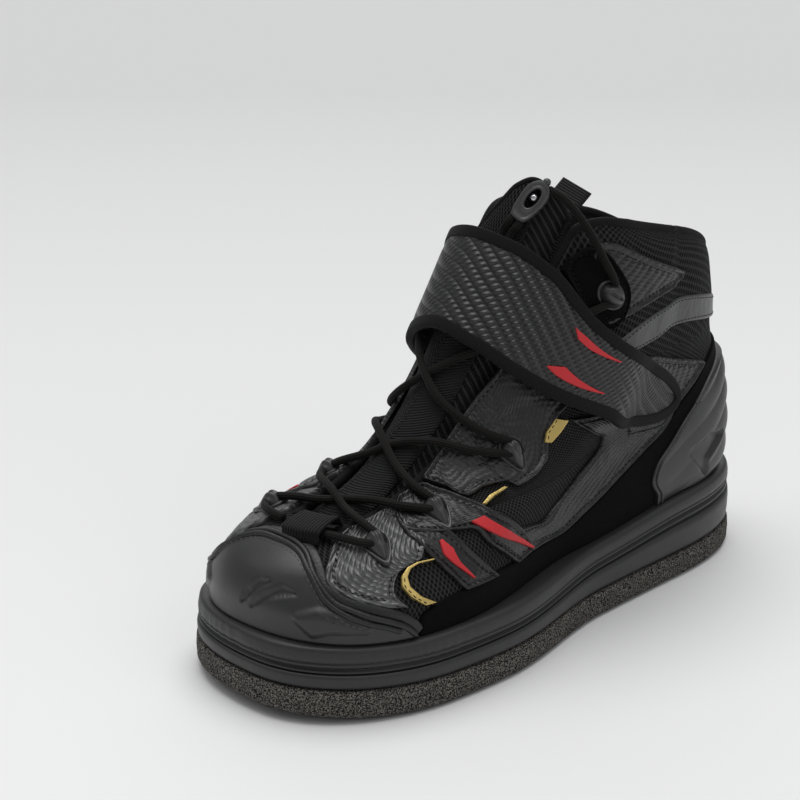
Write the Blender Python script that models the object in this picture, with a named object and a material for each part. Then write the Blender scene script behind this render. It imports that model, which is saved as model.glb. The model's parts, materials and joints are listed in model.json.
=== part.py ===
# Wading shoe, left foot. Metres, toe along +X, lateral side along +Y, +Z up.
# The origin is on the floor, under the middle of the sole.
import math

import bmesh
import bpy
import numpy as np

# Driving sizes
SOLE_LENGTH = 0.300
GAP = 0.0003              # clearance between pieces that meet
WALL = 0.0025             # wall of the upper
COLLAR_PAD = 0.0045       # padding added to the wall at the collar
OVERLAY = 0.0012          # thickness of a sewn overlay
OVERLAY_SEAT = 0.0005     # clearance under an overlay
LACE_RADIUS = 0.0016
LACE_SIDES = 5
SHARP_ANGLE = 40          # degrees, edges sharper than this are not shaded smooth

# Sole outline: share of the length from the heel, half-width on each side
SOLE_COLUMNS = ("along", "lateral", "medial")
SOLE_ROWS = (
    (0.00, 0.0450, 0.0430),
    (0.17, 0.0450, 0.0430),
    (0.43, 0.0465, 0.0400),
    (0.68, 0.0580, 0.0560),
    (1.00, 0.0480, 0.0710),
)
SOLE_HEEL_END = 0.25      # share of the length that the round heel takes
SOLE_TOE_END = 0.22
SOLE_HEEL_POWER = 2.5     # 2 is an ellipse, more is squarer
SOLE_TOE_POWER = 2.32
SOLE_STATIONS = 25

# Heights of the sole along X
HEIGHT_COLUMNS = ("x", "felt_bottom", "felt_top", "groove", "top")
HEIGHT_ROWS = (
    (-0.150, 0.0010, 0.0120, 0.0310, 0.0405),
    (-0.140, 0.0000, 0.0120, 0.0308, 0.0404),
    (-0.090, 0.0000, 0.0121, 0.0300, 0.0395),
    (-0.030, 0.0000, 0.0123, 0.0255, 0.0350),
    (0.040, 0.0000, 0.0125, 0.0215, 0.0315),
    (0.090, 0.0000, 0.0129, 0.0213, 0.0313),
    (0.120, 0.0010, 0.0139, 0.0220, 0.0320),
    (0.150, 0.0040, 0.0160, 0.0240, 0.0340),
)

# Side of the sole: the band, the share of its height, and how far it stands in from the outline
FELT_PROFILE = (
    ("felt", 0.00, 0.0030),
    ("felt", 0.12, 0.0014),
    ("felt", 1.00, 0.0012),
)
MIDSOLE_PROFILE = (
    ("lower", 0.00, 0.0016),
    ("lower", 0.14, 0.0003),
    ("lower", 0.60, 0.0000),
    ("lower", 0.82, 0.0004),
    ("lower", 0.86, 0.0012),
    ("lower", 0.90, 0.0006),
    ("lower", 1.00, 0.0024),
    ("upper", 0.14, 0.0012),
    ("upper", 0.30, 0.0006),
    ("upper", 0.80, 0.0010),
    ("upper", 0.95, 0.0020),
    ("upper", 1.00, 0.0040),
)
BANDS = {"felt": ("felt_bottom", "felt_top"), "lower": ("felt_top", "groove"), "upper": ("groove", "top")}

# Rings of the last, from the feather line up: front and back ends, half-widths at heel, waist and
# forefoot on each side, length and squareness of the nose, and the swing of the toe to the inside
RING_COLUMNS = ("front_x", "front_z", "back_x", "back_z", "heel_lateral", "heel_medial",
                "waist_lateral", "waist_medial", "fore_lateral", "fore_medial", "nose", "power", "swing")
RING_ROWS = (
    (0.143, 0.0330, -0.1400, 0.0400, 0.0375, 0.0365, 0.0395, 0.0350, 0.0545, 0.0530, 0.066, 2.40, -0.006),
    (0.143, 0.0430, -0.1425, 0.0500, 0.0380, 0.0370, 0.0395, 0.0350, 0.0545, 0.0530, 0.068, 2.35, -0.006),
    (0.138, 0.0560, -0.1440, 0.0640, 0.0370, 0.0365, 0.0385, 0.0345, 0.0510, 0.0490, 0.076, 2.20, -0.007),
    (0.124, 0.0650, -0.1440, 0.0770, 0.0355, 0.0355, 0.0370, 0.0335, 0.0475, 0.0395, 0.084, 2.10, -0.007),
    (0.100, 0.0710, -0.1420, 0.0890, 0.0345, 0.0345, 0.0360, 0.0335, 0.0435, 0.0340, 0.090, 2.05, -0.006),
    (0.076, 0.0810, -0.1390, 0.1010, 0.0340, 0.0340, 0.0355, 0.0335, 0.0405, 0.0320, 0.092, 2.00, -0.005),
    (0.053, 0.1010, -0.1360, 0.1150, 0.0340, 0.0340, 0.0360, 0.0340, 0.0385, 0.0315, 0.088, 2.00, -0.004),
    (0.030, 0.1330, -0.1345, 0.1320, 0.0345, 0.0345, 0.0370, 0.0345, 0.0380, 0.0330, 0.080, 2.00, -0.003),
    (-0.002, 0.1860, -0.1360, 0.1500, 0.0355, 0.0355, 0.0380, 0.0350, 0.0380, 0.0330, 0.072, 2.00, -0.002),
    (-0.028, 0.2330, -0.1380, 0.1690, 0.0360, 0.0360, 0.0385, 0.0355, 0.0385, 0.0335, 0.068, 2.00, -0.002),
)
RINGS_TO_COLLAR = 8       # the collar is level 1, the last ring is above it
HEEL_ROUND = 0.050        # length of the round back of the last
HEEL_POWER = 2.2
COLLAR_DIP = 0.010        # how far the collar dips at the back
DIP_LEVEL = 0.55          # level where the dip starts
DIP_SHARE = 0.32          # share of the length that it takes from the back
SWING_START = 0.4         # share of the length where the toe starts to swing to the inside
PAD_LEVELS = (0.74, 0.94) # the collar's padding grows between these levels
PAD_PLACES = (0.48, 0.63) # and fades towards the throat between these places
CREST = 0.35              # height of the collar's rounded edge, as a share of the wall

# Level of each ring of the upper's wall, and the edge of the throat at each level
UPPER_LEVELS = (0.0, 0.06, 0.13, 0.20, 0.28, 0.36, 0.44, 0.455, 0.50, 0.57, 0.65, 0.73, 0.80, 0.86, 0.91,
                0.95, 0.98, 1.0)
UPPER_COLUMNS = 49
COLUMN_CROWDING = 0.3     # how much closer the columns stand along the sides than at toe and heel
THROAT_COLUMNS = ("level", "place")
THROAT_ROWS = ((0.44, 1.0), (0.455, 0.915), (0.50, 0.885), (0.56, 0.862), (0.65, 0.836), (0.75, 0.797),
               (0.85, 0.772), (0.94, 0.760), (0.975, 0.750), (0.99, 0.725), (1.0, 0.66))

# Overlays: place round the last (1 front, 0 heel), lower and upper level
OVERLAY_COLUMNS = ("place", "low", "high")
TOE_CAP_ROWS = ((0.75, 0.01, 0.035), (0.775, 0.01, 0.095), (0.804, 0.01, 0.148), (0.84, 0.01, 0.19),
                (0.866, 0.01, 0.222), (0.891, 0.01, 0.286), (0.917, 0.01, 0.35), (0.955, 0.01, 0.388),
                (1.0, 0.01, 0.394))
COUNTER_ROWS = ((0.0, 0.01, 0.46), (0.10, 0.01, 0.445), (0.184, 0.01, 0.40), (0.24, 0.01, 0.345),
                (0.282, 0.01, 0.287), (0.325, 0.01, 0.19), (0.34, 0.01, 0.10))
RAND_ROWS = ((0.355, 0.01, 0.25), (0.41, 0.01, 0.21), (0.45, 0.01, 0.172), (0.506, 0.01, 0.138),
             (0.552, 0.01, 0.143), (0.62, 0.01, 0.148), (0.67, 0.01, 0.15), (0.715, 0.01, 0.105))
VAMP_ROWS = ((0.735, 0.29, 0.40), (0.76, 0.20, 0.435), (0.79, 0.172, 0.455), (0.82, 0.192, 0.465),
             (0.85, 0.228, 0.47), (0.875, 0.285, 0.465), (0.895, 0.345, 0.445))
EYESTAY_ROWS = ((0.62, 0.53, 0.70), (0.66, 0.45, 0.75), (0.70, 0.425, 0.785), (0.74, 0.435, 0.80),
                (0.77, 0.455, 0.795), (0.80, 0.50, 0.73), (0.83, 0.532, 0.655), (0.85, 0.552, 0.605))
QUARTER_ROWS = ((0.365, 0.285, 0.40), (0.40, 0.25, 0.47), (0.44, 0.215, 0.50), (0.48, 0.185, 0.50),
                (0.51, 0.165, 0.40), (0.54, 0.165, 0.28))
ANKLE_ROWS = ((0.365, 0.915, 0.938), (0.42, 0.90, 0.952), (0.50, 0.882, 0.963), (0.573, 0.866, 0.972),
              (0.655, 0.896, 0.979), (0.70, 0.92, 0.968), (0.73, 0.943, 0.955))
HEEL_STRIP_ROWS = ((0.0, 0.76, 0.85), (0.18, 0.775, 0.858), (0.35, 0.81, 0.878), (0.45, 0.782, 0.86),
                   (0.53, 0.80, 0.842))
STRAP_ROWS = ((0.30, 0.41, 0.51), (0.35, 0.405, 0.642), (0.40, 0.45, 0.705), (0.45, 0.54, 0.762),
              (0.55, 0.675, 0.84), (0.65, 0.755, 0.90), (0.77, 0.82, 0.943), (0.89, 0.861, 0.963),
              (1.0, 0.876, 0.968))
TOE_CAP_THICK = 0.0018
COUNTER_THICK = 0.0022
COUNTER_RIDGE = 0.0008    # height of the moulded ridges at the back of the heel
COUNTER_RIDGES = 4
COUNTER_RIDGE_PLACES = (0.12, 0.24)  # they fade out between these places
STRAP_THICK = 0.0028
STRAP_SEAT = 0.0020       # the strap's ends lie on the quarter overlays
STRAP_LIFT = 0.0044       # how much further it stands off over the laces
STRAP_LIFT_PLACES = (0.42, 0.55)

# Tongue: its sheet runs under both eyestays and stands highest on the lateral side
TONGUE_ROWS = ((0.725, 0.86, 0.955), (0.745, 0.75, 0.98), (0.775, 0.62, 1.0), (0.83, 0.50, 1.018),
               (0.90, 0.43, 1.027), (0.96, 0.42, 1.018), (1.0, 0.42, 1.002), (1.06, 0.42, 0.985),
               (1.12, 0.44, 0.972), (1.17, 0.50, 0.965), (1.225, 0.62, 0.96), (1.255, 0.75, 0.95),
               (1.275, 0.86, 0.93))
TONGUE_SEAT = 0.0010      # clearance under the upper's wall
TONGUE_THICK = 0.0040
TONGUE_CROWN = 0.0024     # how far it swells up in the throat
TONGUE_CROWN_EDGE = 0.02  # how far inside the throat's edge the swelling starts
TONGUE_CROWN_FADE = 0.06  # places over which it grows
TONGUE_CROWN_LEVELS = (0.48, 0.54)

# Webbing pull behind the top of the tongue: level and height over the last of each row
PULL_COLUMNS = ("level", "rise")
PULL_ROWS = ((0.972, -0.0056), (1.005, -0.0058), (1.022, -0.0085), (1.034, -0.0150), (1.042, -0.0230))
PULL_PLACES = (0.895, 0.985)
PULL_THICK = 0.0024
PULL_SPAN = 4             # points across the webbing

INSOLE_THICK = 0.0042
INSOLE_LEVEL = 0.04
INSOLE_CLEAR = 0.0012
INSOLE_STATIONS = 23

# Eyelets, a row for each pair from the toe up: name, level, place, and how far the lace that comes to it
# rises over a straight run where it crosses the front
EYELET_ROWS = (
    ("vamp", 0.38, 0.818, 0.0),
    ("lower", 0.49, 0.766, 0.11),
    ("upper", 0.652, 0.696, 0.13),
    ("ankle", 0.917, 0.609, 0.05),
)
# Turned outline of an eyelet: radius and height above its overlay
EYELET_OUTLINE = ((0.0020, 0.0000), (0.0020, 0.0044), (0.0042, 0.0047), (0.0036, 0.0062), (0.0000, 0.0070))
EYELET_SIDES = 6
HEELWARD_STEP = 0.99      # share of the place that is used to find the way to the heel
LACE_TURN = 0.0046        # radius of the lace's turn round an eyelet
LACE_HIGH = 0.0042        # height of the lace over the eyestay
LACE_LOW = 0.0018         # height of the lace over the tongue
LACE_CLIMB_PLACES = (0.04, 0.14)     # it climbs between these distances from the front
LACE_TURN_ANGLES = (-70, 0, 70)      # degrees round an eyelet
LACE_TURN_LEVEL = 0.027   # the same turn as a share of the level
BAR_LEVEL = 0.458         # level where the first bar crosses the front
BAR_PLACE = 1.012         # each half starts a little past the middle, so that they join
LACE_COLOUR = (0.03, 0.026, 0.022)
LACE_ROUGHNESS = 0.85
LACE_SHARES = (0.10, 0.24, 0.37, 0.50, 0.63, 0.76, 0.90)

# Cord lock: a flat tab with a slot, leaning on the tongue
LOCK_LEVEL = 1.004
LOCK_PLACE = 0.885
LOCK_RISE = -0.0006       # height of its back over the last
LOCK_THICK = 0.0042
LOCK_HALF = (0.0060, 0.0110)   # half its width and length
LOCK_FLARE = 0.0012       # how much wider it is at the top
LOCK_SLOT = (0.0024, 0.0052)
LOCK_SIDES = 16
LOCK_TAPER = 0.96         # its front is this much smaller than its back
LOCK_SQUARE = 0.75        # power of the outline, 1 is an ellipse, less is squarer

# Free lace: from the ankle eyelet over the collar's corner to the lock, and two ends under the strap
RUN_POINTS = (
    (-0.0324, 0.0386, 0.1503),
    (-0.0295, 0.0386, 0.1555),
    (-0.0250, 0.0375, 0.1630),
    (-0.0210, 0.0345, 0.1725),
    (-0.0180, 0.0295, 0.1810),
    (-0.0153, 0.0225, 0.1885),
    (-0.0126, 0.0163, 0.1920),
)
END_LEVELS = (0.975, 0.90)
END_PLACES = (0.905, 0.935)
END_RISE = 0.0010         # height of the ends' centre over the last
CORD_POINTS = 8

VAMP_LOOP_LEVELS = (0.402, 0.410, 0.418, 0.473, 0.481, 0.487)
VAMP_LOOP_RISE = (0.0004, 0.0024, 0.0044, 0.0044, 0.0030, 0.0004)
VAMP_LOOP_PLACES = (0.952, 1.048)
VAMP_LOOP_THICK = 0.0012
VAMP_LOOP_COLUMNS = 6


def table(rows, names):
    # Columns of a table, by name.
    return {name: np.array([row[i] for row in rows]) for i, name in enumerate(names)}


def smooth(stations, values, at):
    # Cubic through the rows of a table that never overshoots: each inner slope is the harmonic mean
    # of the slopes beside it.
    u = np.asarray(stations, float)
    v = np.asarray(values, float)
    at = np.asarray(at, float)
    rise = np.diff(v) / np.diff(u)
    slope = np.zeros_like(v)
    same = rise[:-1] * rise[1:] > 0
    total = np.where(same, rise[:-1] + rise[1:], 1)
    slope[1:-1] = np.where(same, 2 * rise[:-1] * rise[1:] / total, 0)
    slope[0] = rise[0]
    slope[-1] = rise[-1]
    i = np.clip(np.searchsorted(u, at, side="right") - 1, 0, len(u) - 2)
    span = u[i + 1] - u[i]
    t = np.clip((at - u[i]) / span, 0, 1)
    start = v[i] * (2 * t**3 - 3 * t**2 + 1) + slope[i] * span * (t**3 - 2 * t**2 + t)
    end = v[i + 1] * (3 * t**2 - 2 * t**3) + slope[i + 1] * span * (t**3 - t**2)
    return start + end


def ease(share):
    t = np.clip(share, 0, 1)
    return t * t * (3 - 2 * t)


def between(value, ends):
    # Eases from 0 at the first end to 1 at the second.
    return ease((value - ends[0]) / (ends[1] - ends[0]))


def rounded(share, power):
    # Superellipse: 1 at share 0, 0 at share 1.
    return (1 - np.clip(share, 0, 1) ** power) ** (1 / power)


SOLE = table(SOLE_ROWS, SOLE_COLUMNS)
HEIGHT = table(HEIGHT_ROWS, HEIGHT_COLUMNS)
RING = table(RING_ROWS, RING_COLUMNS)
RING_LEVELS = np.arange(len(RING_ROWS)) / RINGS_TO_COLLAR
THROAT = table(THROAT_ROWS, THROAT_COLUMNS)


def height(name, x):
    return smooth(HEIGHT["x"], HEIGHT[name], np.clip(x, -SOLE_LENGTH / 2, SOLE_LENGTH / 2))


def sole_ring(inset):
    # Closed outline of the sole, from the heel along the lateral side to the toe and back.
    along = (1 - np.cos(np.linspace(0, math.pi, SOLE_STATIONS))) / 2
    ends = rounded(1 - along / SOLE_HEEL_END, SOLE_HEEL_POWER)
    ends = ends * rounded((along - 1 + SOLE_TOE_END) / SOLE_TOE_END, SOLE_TOE_POWER)
    x = SOLE_LENGTH * (along - 0.5)
    lateral = np.c_[x, smooth(SOLE["along"], SOLE["lateral"], along) * ends]
    medial = np.c_[x, -smooth(SOLE["along"], SOLE["medial"], along) * ends]
    ring = np.concatenate([lateral, medial[-2:0:-1]])
    step = np.roll(ring, -1, 0) - np.roll(ring, 1, 0)
    out = np.c_[-step[:, 1], step[:, 0]]
    out /= np.linalg.norm(out, axis=1)[:, None]
    return ring - out * inset


def ring_at(level):
    return {name: smooth(RING_LEVELS, RING[name], level) for name in RING_COLUMNS}


def last_point(level, place):
    # Outer face of the upper. Place runs from 1 at the front along the lateral side to 0 at the
    # heel, and on to -1, which is the front again.
    level, place = np.broadcast_arrays(np.asarray(level, float), np.asarray(place, float))
    place = (place + 1) % 2 - 1
    lateral = place >= 0
    share = (1 - np.cos(math.pi * np.abs(place))) / 2
    ring = ring_at(level)
    long = ring["front_x"] - ring["back_x"]
    x = ring["back_x"] + share * long
    heel = np.where(lateral, ring["heel_lateral"], ring["heel_medial"])
    waist = np.where(lateral, ring["waist_lateral"], ring["waist_medial"])
    fore = np.where(lateral, ring["fore_lateral"], ring["fore_medial"])
    heel_end = HEEL_ROUND / long
    nose_end = 1 - ring["nose"] / long
    middle = (heel_end + nose_end) / 2
    half = heel + (waist - heel) * ease((share - heel_end) / (middle - heel_end))
    half = half + (fore - waist) * ease((share - middle) / (nose_end - middle))
    half = half * rounded(1 - share / heel_end, HEEL_POWER)
    half = half * rounded((share - nose_end) / (1 - nose_end), ring["power"])
    feather = ring_at(0.0)
    run = np.clip((x - feather["back_x"]) / (feather["front_x"] - feather["back_x"]), 0, 1)
    flat = feather["back_z"] + (feather["front_z"] - feather["back_z"]) * run
    z = ring["back_z"] + (ring["front_z"] - ring["back_z"]) * share
    z = z + (height("top", x) - flat) * (1 - np.clip(level, 0, 1)) ** 2
    dip = ease((level - DIP_LEVEL) / (1 - DIP_LEVEL)) * (1 - np.clip(share / DIP_SHARE, 0, 1)) ** 2
    z = z - COLLAR_DIP * dip
    y = np.where(lateral, half, -half) + ring["swing"] * ease((share - SWING_START) / (1 - SWING_START))
    return np.stack([x, y, z], -1)


def last_frame(level, place):
    # Point on the outer face with its outward normal.
    step = 0.004
    level = np.asarray(level, float)
    low = np.maximum(level - step, 0.0)
    up = last_point(level + step, place) - last_point(low, place)
    around = last_point(level, place + step) - last_point(level, place - step)
    normal = np.cross(up, around)
    normal = normal / np.linalg.norm(normal, axis=-1)[..., None]
    return last_point(level, place), normal


def off_last(level, place, offset):
    point, normal = last_frame(level, place)
    return point + normal * np.asarray(offset)[..., None]


def wall_at(level, place):
    # Thickness of the upper's wall: padded at the collar, thin at the throat.
    pad = between(level, PAD_LEVELS) * (1 - between(np.abs(place), PAD_PLACES))
    return WALL + COLLAR_PAD * pad


def paint(piece, colour, roughness):
    material = bpy.data.materials.new(piece.name)
    material.use_nodes = True
    shader = material.node_tree.nodes["Principled BSDF"]
    shader.inputs["Base Color"].default_value = (*colour, 1.0)
    shader.inputs["Roughness"].default_value = roughness
    piece.data.materials.append(material)


def finish(name, mesh_data, colour, roughness):
    # Turns a bmesh into a named object with its own material.
    bmesh.ops.recalc_face_normals(mesh_data, faces=mesh_data.faces)
    mesh = bpy.data.meshes.new(name)
    mesh_data.to_mesh(mesh)
    mesh_data.free()
    mesh.shade_smooth()
    mesh.set_sharp_from_angle(angle=math.radians(SHARP_ANGLE))
    piece = bpy.data.objects.new(name, mesh)
    bpy.context.scene.collection.objects.link(piece)
    paint(piece, colour, roughness)
    return piece


def new_mesh(points, faces):
    mesh_data = bmesh.new()
    corners = [mesh_data.verts.new(point) for point in points]
    for face in faces:
        mesh_data.faces.new([corners[i] for i in face])
    return mesh_data


def strip_cap(first, count):
    # Closes a ring of the sole with faces from its lateral to its medial points.
    half = count // 2
    faces = [(first, first + 1, first + count - 1)]
    for i in range(1, half - 1):
        faces.append((first + i, first + i + 1, first + count - i - 1, first + count - i))
    faces.append((first + half - 1, first + half, first + half + 1))
    return faces


def loft(rings):
    # Solid through closed rings of the same count, with both ends capped.
    count = len(rings[0])
    faces = strip_cap(0, count)
    for i in range(len(rings) - 1):
        for j in range(count):
            k = (j + 1) % count
            faces.append((i * count + j, i * count + k, (i + 1) * count + k, (i + 1) * count + j))
    faces += strip_cap((len(rings) - 1) * count, count)
    return new_mesh(np.concatenate(rings), faces)


def sheet(outer, inner):
    # Closed solid between two grids of points.
    rows, columns = outer.shape[:2]
    size = rows * columns
    index = np.arange(size).reshape(rows, columns)
    faces = []
    for i in range(rows - 1):
        for j in range(columns - 1):
            corners = (index[i, j], index[i, j + 1], index[i + 1, j + 1], index[i + 1, j])
            faces.append(corners)
            faces.append(tuple(c + size for c in reversed(corners)))
    edge = list(index[0, :-1]) + list(index[:-1, -1]) + list(index[-1, :0:-1]) + list(index[:0:-1, 0])
    for a, b in zip(edge, edge[1:] + edge[:1]):
        faces.append((b, a, a + size, b + size))
    return new_mesh(np.concatenate([outer.reshape(-1, 3), inner.reshape(-1, 3)]), faces)


def across_front(rows):
    # Carries an overlay's rows over the front to the medial side.
    return rows + tuple((2 - row[0], *row[1:]) for row in reversed(rows[:-1]))


def across_heel(rows):
    return tuple((-row[0], *row[1:]) for row in reversed(rows[1:])) + rows


def medial(rows):
    return tuple((-row[0], *row[1:]) for row in reversed(rows))


def overlay_grid(rows, columns, levels):
    # Level and place of a grid of points over an overlay's field.
    field = table(rows, OVERLAY_COLUMNS)
    place = np.linspace(field["place"][0], field["place"][-1], columns)[None, :]
    low = smooth(field["place"], field["low"], place)
    high = smooth(field["place"], field["high"], place)
    share = np.linspace(0, 1, levels)[:, None]
    return low + (high - low) * share, np.broadcast_to(place, (levels, columns))


def overlay(rows, columns, levels, thick):
    level, place = overlay_grid(rows, columns, levels)
    outer = off_last(level, place, np.full(level.shape, OVERLAY_SEAT + thick))
    inner = off_last(level, place, np.full(level.shape, OVERLAY_SEAT))
    return sheet(outer, inner)


def sole_rings(profile):
    rings = []
    for band, share, inset in profile:
        low, high = BANDS[band]
        ring = sole_ring(inset)
        base = height(low, ring[:, 0])
        rise = height(high, ring[:, 0]) - base
        rings.append(np.c_[ring, base + rise * share])
    return rings


def make_sole():
    felt = sole_rings(FELT_PROFILE)
    felt[-1][:, 2] -= GAP
    finish("felt_outsole", loft(felt), (0.16, 0.15, 0.14), 0.95)
    middle = sole_rings(MIDSOLE_PROFILE)
    middle[-1][:, 2] -= GAP
    finish("midsole", loft(middle), (0.045, 0.046, 0.048), 0.6)


def make_insole():
    place = np.linspace(0, 1, INSOLE_STATIONS)
    around = np.concatenate([place, -place[-2:0:-1]])
    level = np.full(around.shape, INSOLE_LEVEL)
    edge = off_last(level, around, np.full(around.shape, -WALL - INSOLE_CLEAR))
    rings = []
    for rise in (GAP, INSOLE_THICK):
        rings.append(np.c_[edge[:, :2], height("top", edge[:, 0]) + rise])
    finish("insole", loft(rings), (0.05, 0.05, 0.05), 0.9)


def make_upper():
    # One hollow wall. Rings under the throat are closed at the front, those above it stop at its edges.
    level = np.array(UPPER_LEVELS)
    edge = throat_edge(level)
    column = np.linspace(-1, 1, UPPER_COLUMNS)
    column = column + COLUMN_CROWDING * np.sin(2 * math.pi * column) / (2 * math.pi)
    place = edge[:, None] * column[None, :]
    level = np.broadcast_to(level[:, None], place.shape)
    outer = off_last(level, place, np.zeros(place.shape))
    inner = off_last(level, place, -wall_at(level, place))
    inner[0, :, 2] = outer[0, :, 2]
    crest = (outer[-1] + inner[-1]) / 2
    crest[:, 2] += wall_at(level[-1], place[-1]) * CREST
    rows, columns = place.shape
    size = rows * columns
    index = np.arange(size).reshape(rows, columns)
    closed = edge == 1.0
    index[closed, -1] = index[closed, 0]
    top = 2 * size + np.arange(columns)
    faces = []
    for i in range(rows - 1):
        for j in range(columns - 1):
            corners = (index[i, j], index[i, j + 1], index[i + 1, j + 1], index[i + 1, j])
            faces.append(corners)
            faces.append(tuple(c + size for c in reversed(corners)))
        if not closed[i + 1]:
            for j in (0, -1):
                a, b = index[i, j], index[i + 1, j]
                faces.append((a, b, b + size, a + size))
    for j in range(columns - 1):
        a, b = index[0, j], index[0, j + 1]
        faces.append((b, a, a + size, b + size))
        a, b = index[-1, j], index[-1, j + 1]
        faces.append((a, b, top[j + 1], top[j]))
        faces.append((top[j], top[j + 1], b + size, a + size))
    for j in (0, -1):
        faces.append((index[-1, j], top[j], index[-1, j] + size))
    points = np.concatenate([outer.reshape(-1, 3), inner.reshape(-1, 3), crest])
    mesh_data = new_mesh(points, faces)
    loose = [corner for corner in mesh_data.verts if not corner.link_faces]
    bmesh.ops.delete(mesh_data, geom=loose, context="VERTS")
    finish("upper", mesh_data, (0.025, 0.025, 0.027), 0.8)


def throat_edge(level):
    # Place of the throat's edge at a level, 1 where the front is closed.
    return np.where(level <= THROAT["level"][0], 1.0, smooth(THROAT["level"], THROAT["place"], level))


def tongue_face(level, place):
    # Height of the tongue's outer face over the last.
    inside = 1 - throat_edge(level) - np.abs(place - 1)
    crown = ease((inside - TONGUE_CROWN_EDGE) / TONGUE_CROWN_FADE) * between(level, TONGUE_CROWN_LEVELS)
    return -WALL - TONGUE_SEAT + TONGUE_CROWN * crown


def make_tongue():
    level, place = overlay_grid(TONGUE_ROWS, columns=19, levels=9)
    face = tongue_face(level, place)
    tongue = sheet(off_last(level, place, face), off_last(level, place, face - TONGUE_THICK))
    finish("tongue", tongue, (0.018, 0.018, 0.02), 0.9)


def make_pull():
    row = table(PULL_ROWS, PULL_COLUMNS)
    place = np.linspace(*PULL_PLACES, PULL_SPAN)[None, :]
    level, place = np.broadcast_arrays(row["level"][:, None], place)
    rise = np.broadcast_to(row["rise"][:, None], place.shape)
    band = sheet(off_last(level, place, rise), off_last(level, place, rise - PULL_THICK))
    finish("tongue_pull", band, (0.015, 0.015, 0.015), 0.9)


def make_overlays():
    leather = (0.055, 0.055, 0.058)
    suede = (0.012, 0.012, 0.013)
    rubber = (0.05, 0.05, 0.052)
    cap = overlay(across_front(TOE_CAP_ROWS), columns=25, levels=8, thick=TOE_CAP_THICK)
    finish("toe_cap", cap, rubber, 0.55)
    level, place = overlay_grid(across_heel(COUNTER_ROWS), columns=19, levels=2 * COUNTER_RIDGES + 1)
    wave = np.abs(np.sin(math.pi * COUNTER_RIDGES * np.linspace(0, 1, len(level))))[:, None]
    ridge = COUNTER_RIDGE * wave * (1 - between(np.abs(place), COUNTER_RIDGE_PLACES))
    outer = off_last(level, place, OVERLAY_SEAT + COUNTER_THICK + ridge)
    inner = off_last(level, place, np.full(place.shape, OVERLAY_SEAT))
    finish("heel_counter", sheet(outer, inner), rubber, 0.55)
    strip = overlay(across_heel(HEEL_STRIP_ROWS), columns=25, levels=3, thick=OVERLAY)
    finish("heel_strip", strip, leather, 0.7)
    sides = (
        ("rand", RAND_ROWS, 17, 3, suede),
        ("vamp_panel", VAMP_ROWS, 9, 5, leather),
        ("eyestay", EYESTAY_ROWS, 10, 6, leather),
        ("quarter", QUARTER_ROWS, 8, 5, leather),
        ("ankle_patch", ANKLE_ROWS, 12, 3, leather),
    )
    for name, rows, columns, levels, colour in sides:
        lateral = overlay(rows, columns, levels, OVERLAY)
        finish(name + "_lateral", lateral, colour, 0.7)
        other = overlay(medial(rows), columns, levels, OVERLAY)
        finish(name + "_medial", other, colour, 0.7)


def make_strap():
    level, place = overlay_grid(across_front(STRAP_ROWS), columns=37, levels=4)
    seat = STRAP_SEAT + STRAP_LIFT * between(1 - np.abs(place - 1), STRAP_LIFT_PLACES)
    band = sheet(off_last(level, place, seat + STRAP_THICK), off_last(level, place, seat))
    finish("instep_strap", band, (0.05, 0.05, 0.053), 0.6)


def eyelet_frame(level, place):
    # Seat of an eyelet on its overlay, with directions out from the last, away from the throat and up.
    point, out = last_frame(level, place)
    heelward = last_point(level, place * HEELWARD_STEP) - point
    heelward = heelward - out * np.dot(heelward, out)
    heelward = heelward / np.linalg.norm(heelward)
    up = np.cross(out, heelward)
    if up[2] < 0:
        up = -up
    return point + out * (OVERLAY_SEAT + OVERLAY), out, heelward, up


def make_eyelets():
    for side, sign in (("lateral", 1), ("medial", -1)):
        for name, level, place, _ in EYELET_ROWS:
            seat, out, heelward, up = eyelet_frame(level, sign * place)
            points = []
            for radius, rise in EYELET_OUTLINE[:-1]:
                angle = 2 * math.pi * np.arange(EYELET_SIDES) / EYELET_SIDES
                ring = np.outer(np.cos(angle), heelward) + np.outer(np.sin(angle), up)
                points.append(seat + ring * radius + out * (rise + GAP))
            count = EYELET_SIDES
            faces = [tuple(range(count))]
            for i in range(len(points) - 1):
                for j in range(count):
                    k = (j + 1) % count
                    faces.append((i * count + j, i * count + k, (i + 1) * count + k, (i + 1) * count + j))
            crown = len(points) * count
            for j in range(count):
                faces.append((crown - count + j, crown - count + (j + 1) % count, crown))
            points.append((seat + out * (EYELET_OUTLINE[-1][1] + GAP))[None, :])
            pebble = new_mesh(np.concatenate(points), faces)
            finish("eyelet_%s_%s" % (name, side), pebble, (0.06, 0.06, 0.062), 0.45)


def lace_height(place):
    # Height of the lace's centre over the last: low on the tongue, high over the eyestays.
    from_front = np.abs(np.abs(place) - 1)
    return LACE_LOW + (LACE_HIGH - LACE_LOW) * between(from_front, LACE_CLIMB_PLACES)


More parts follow.
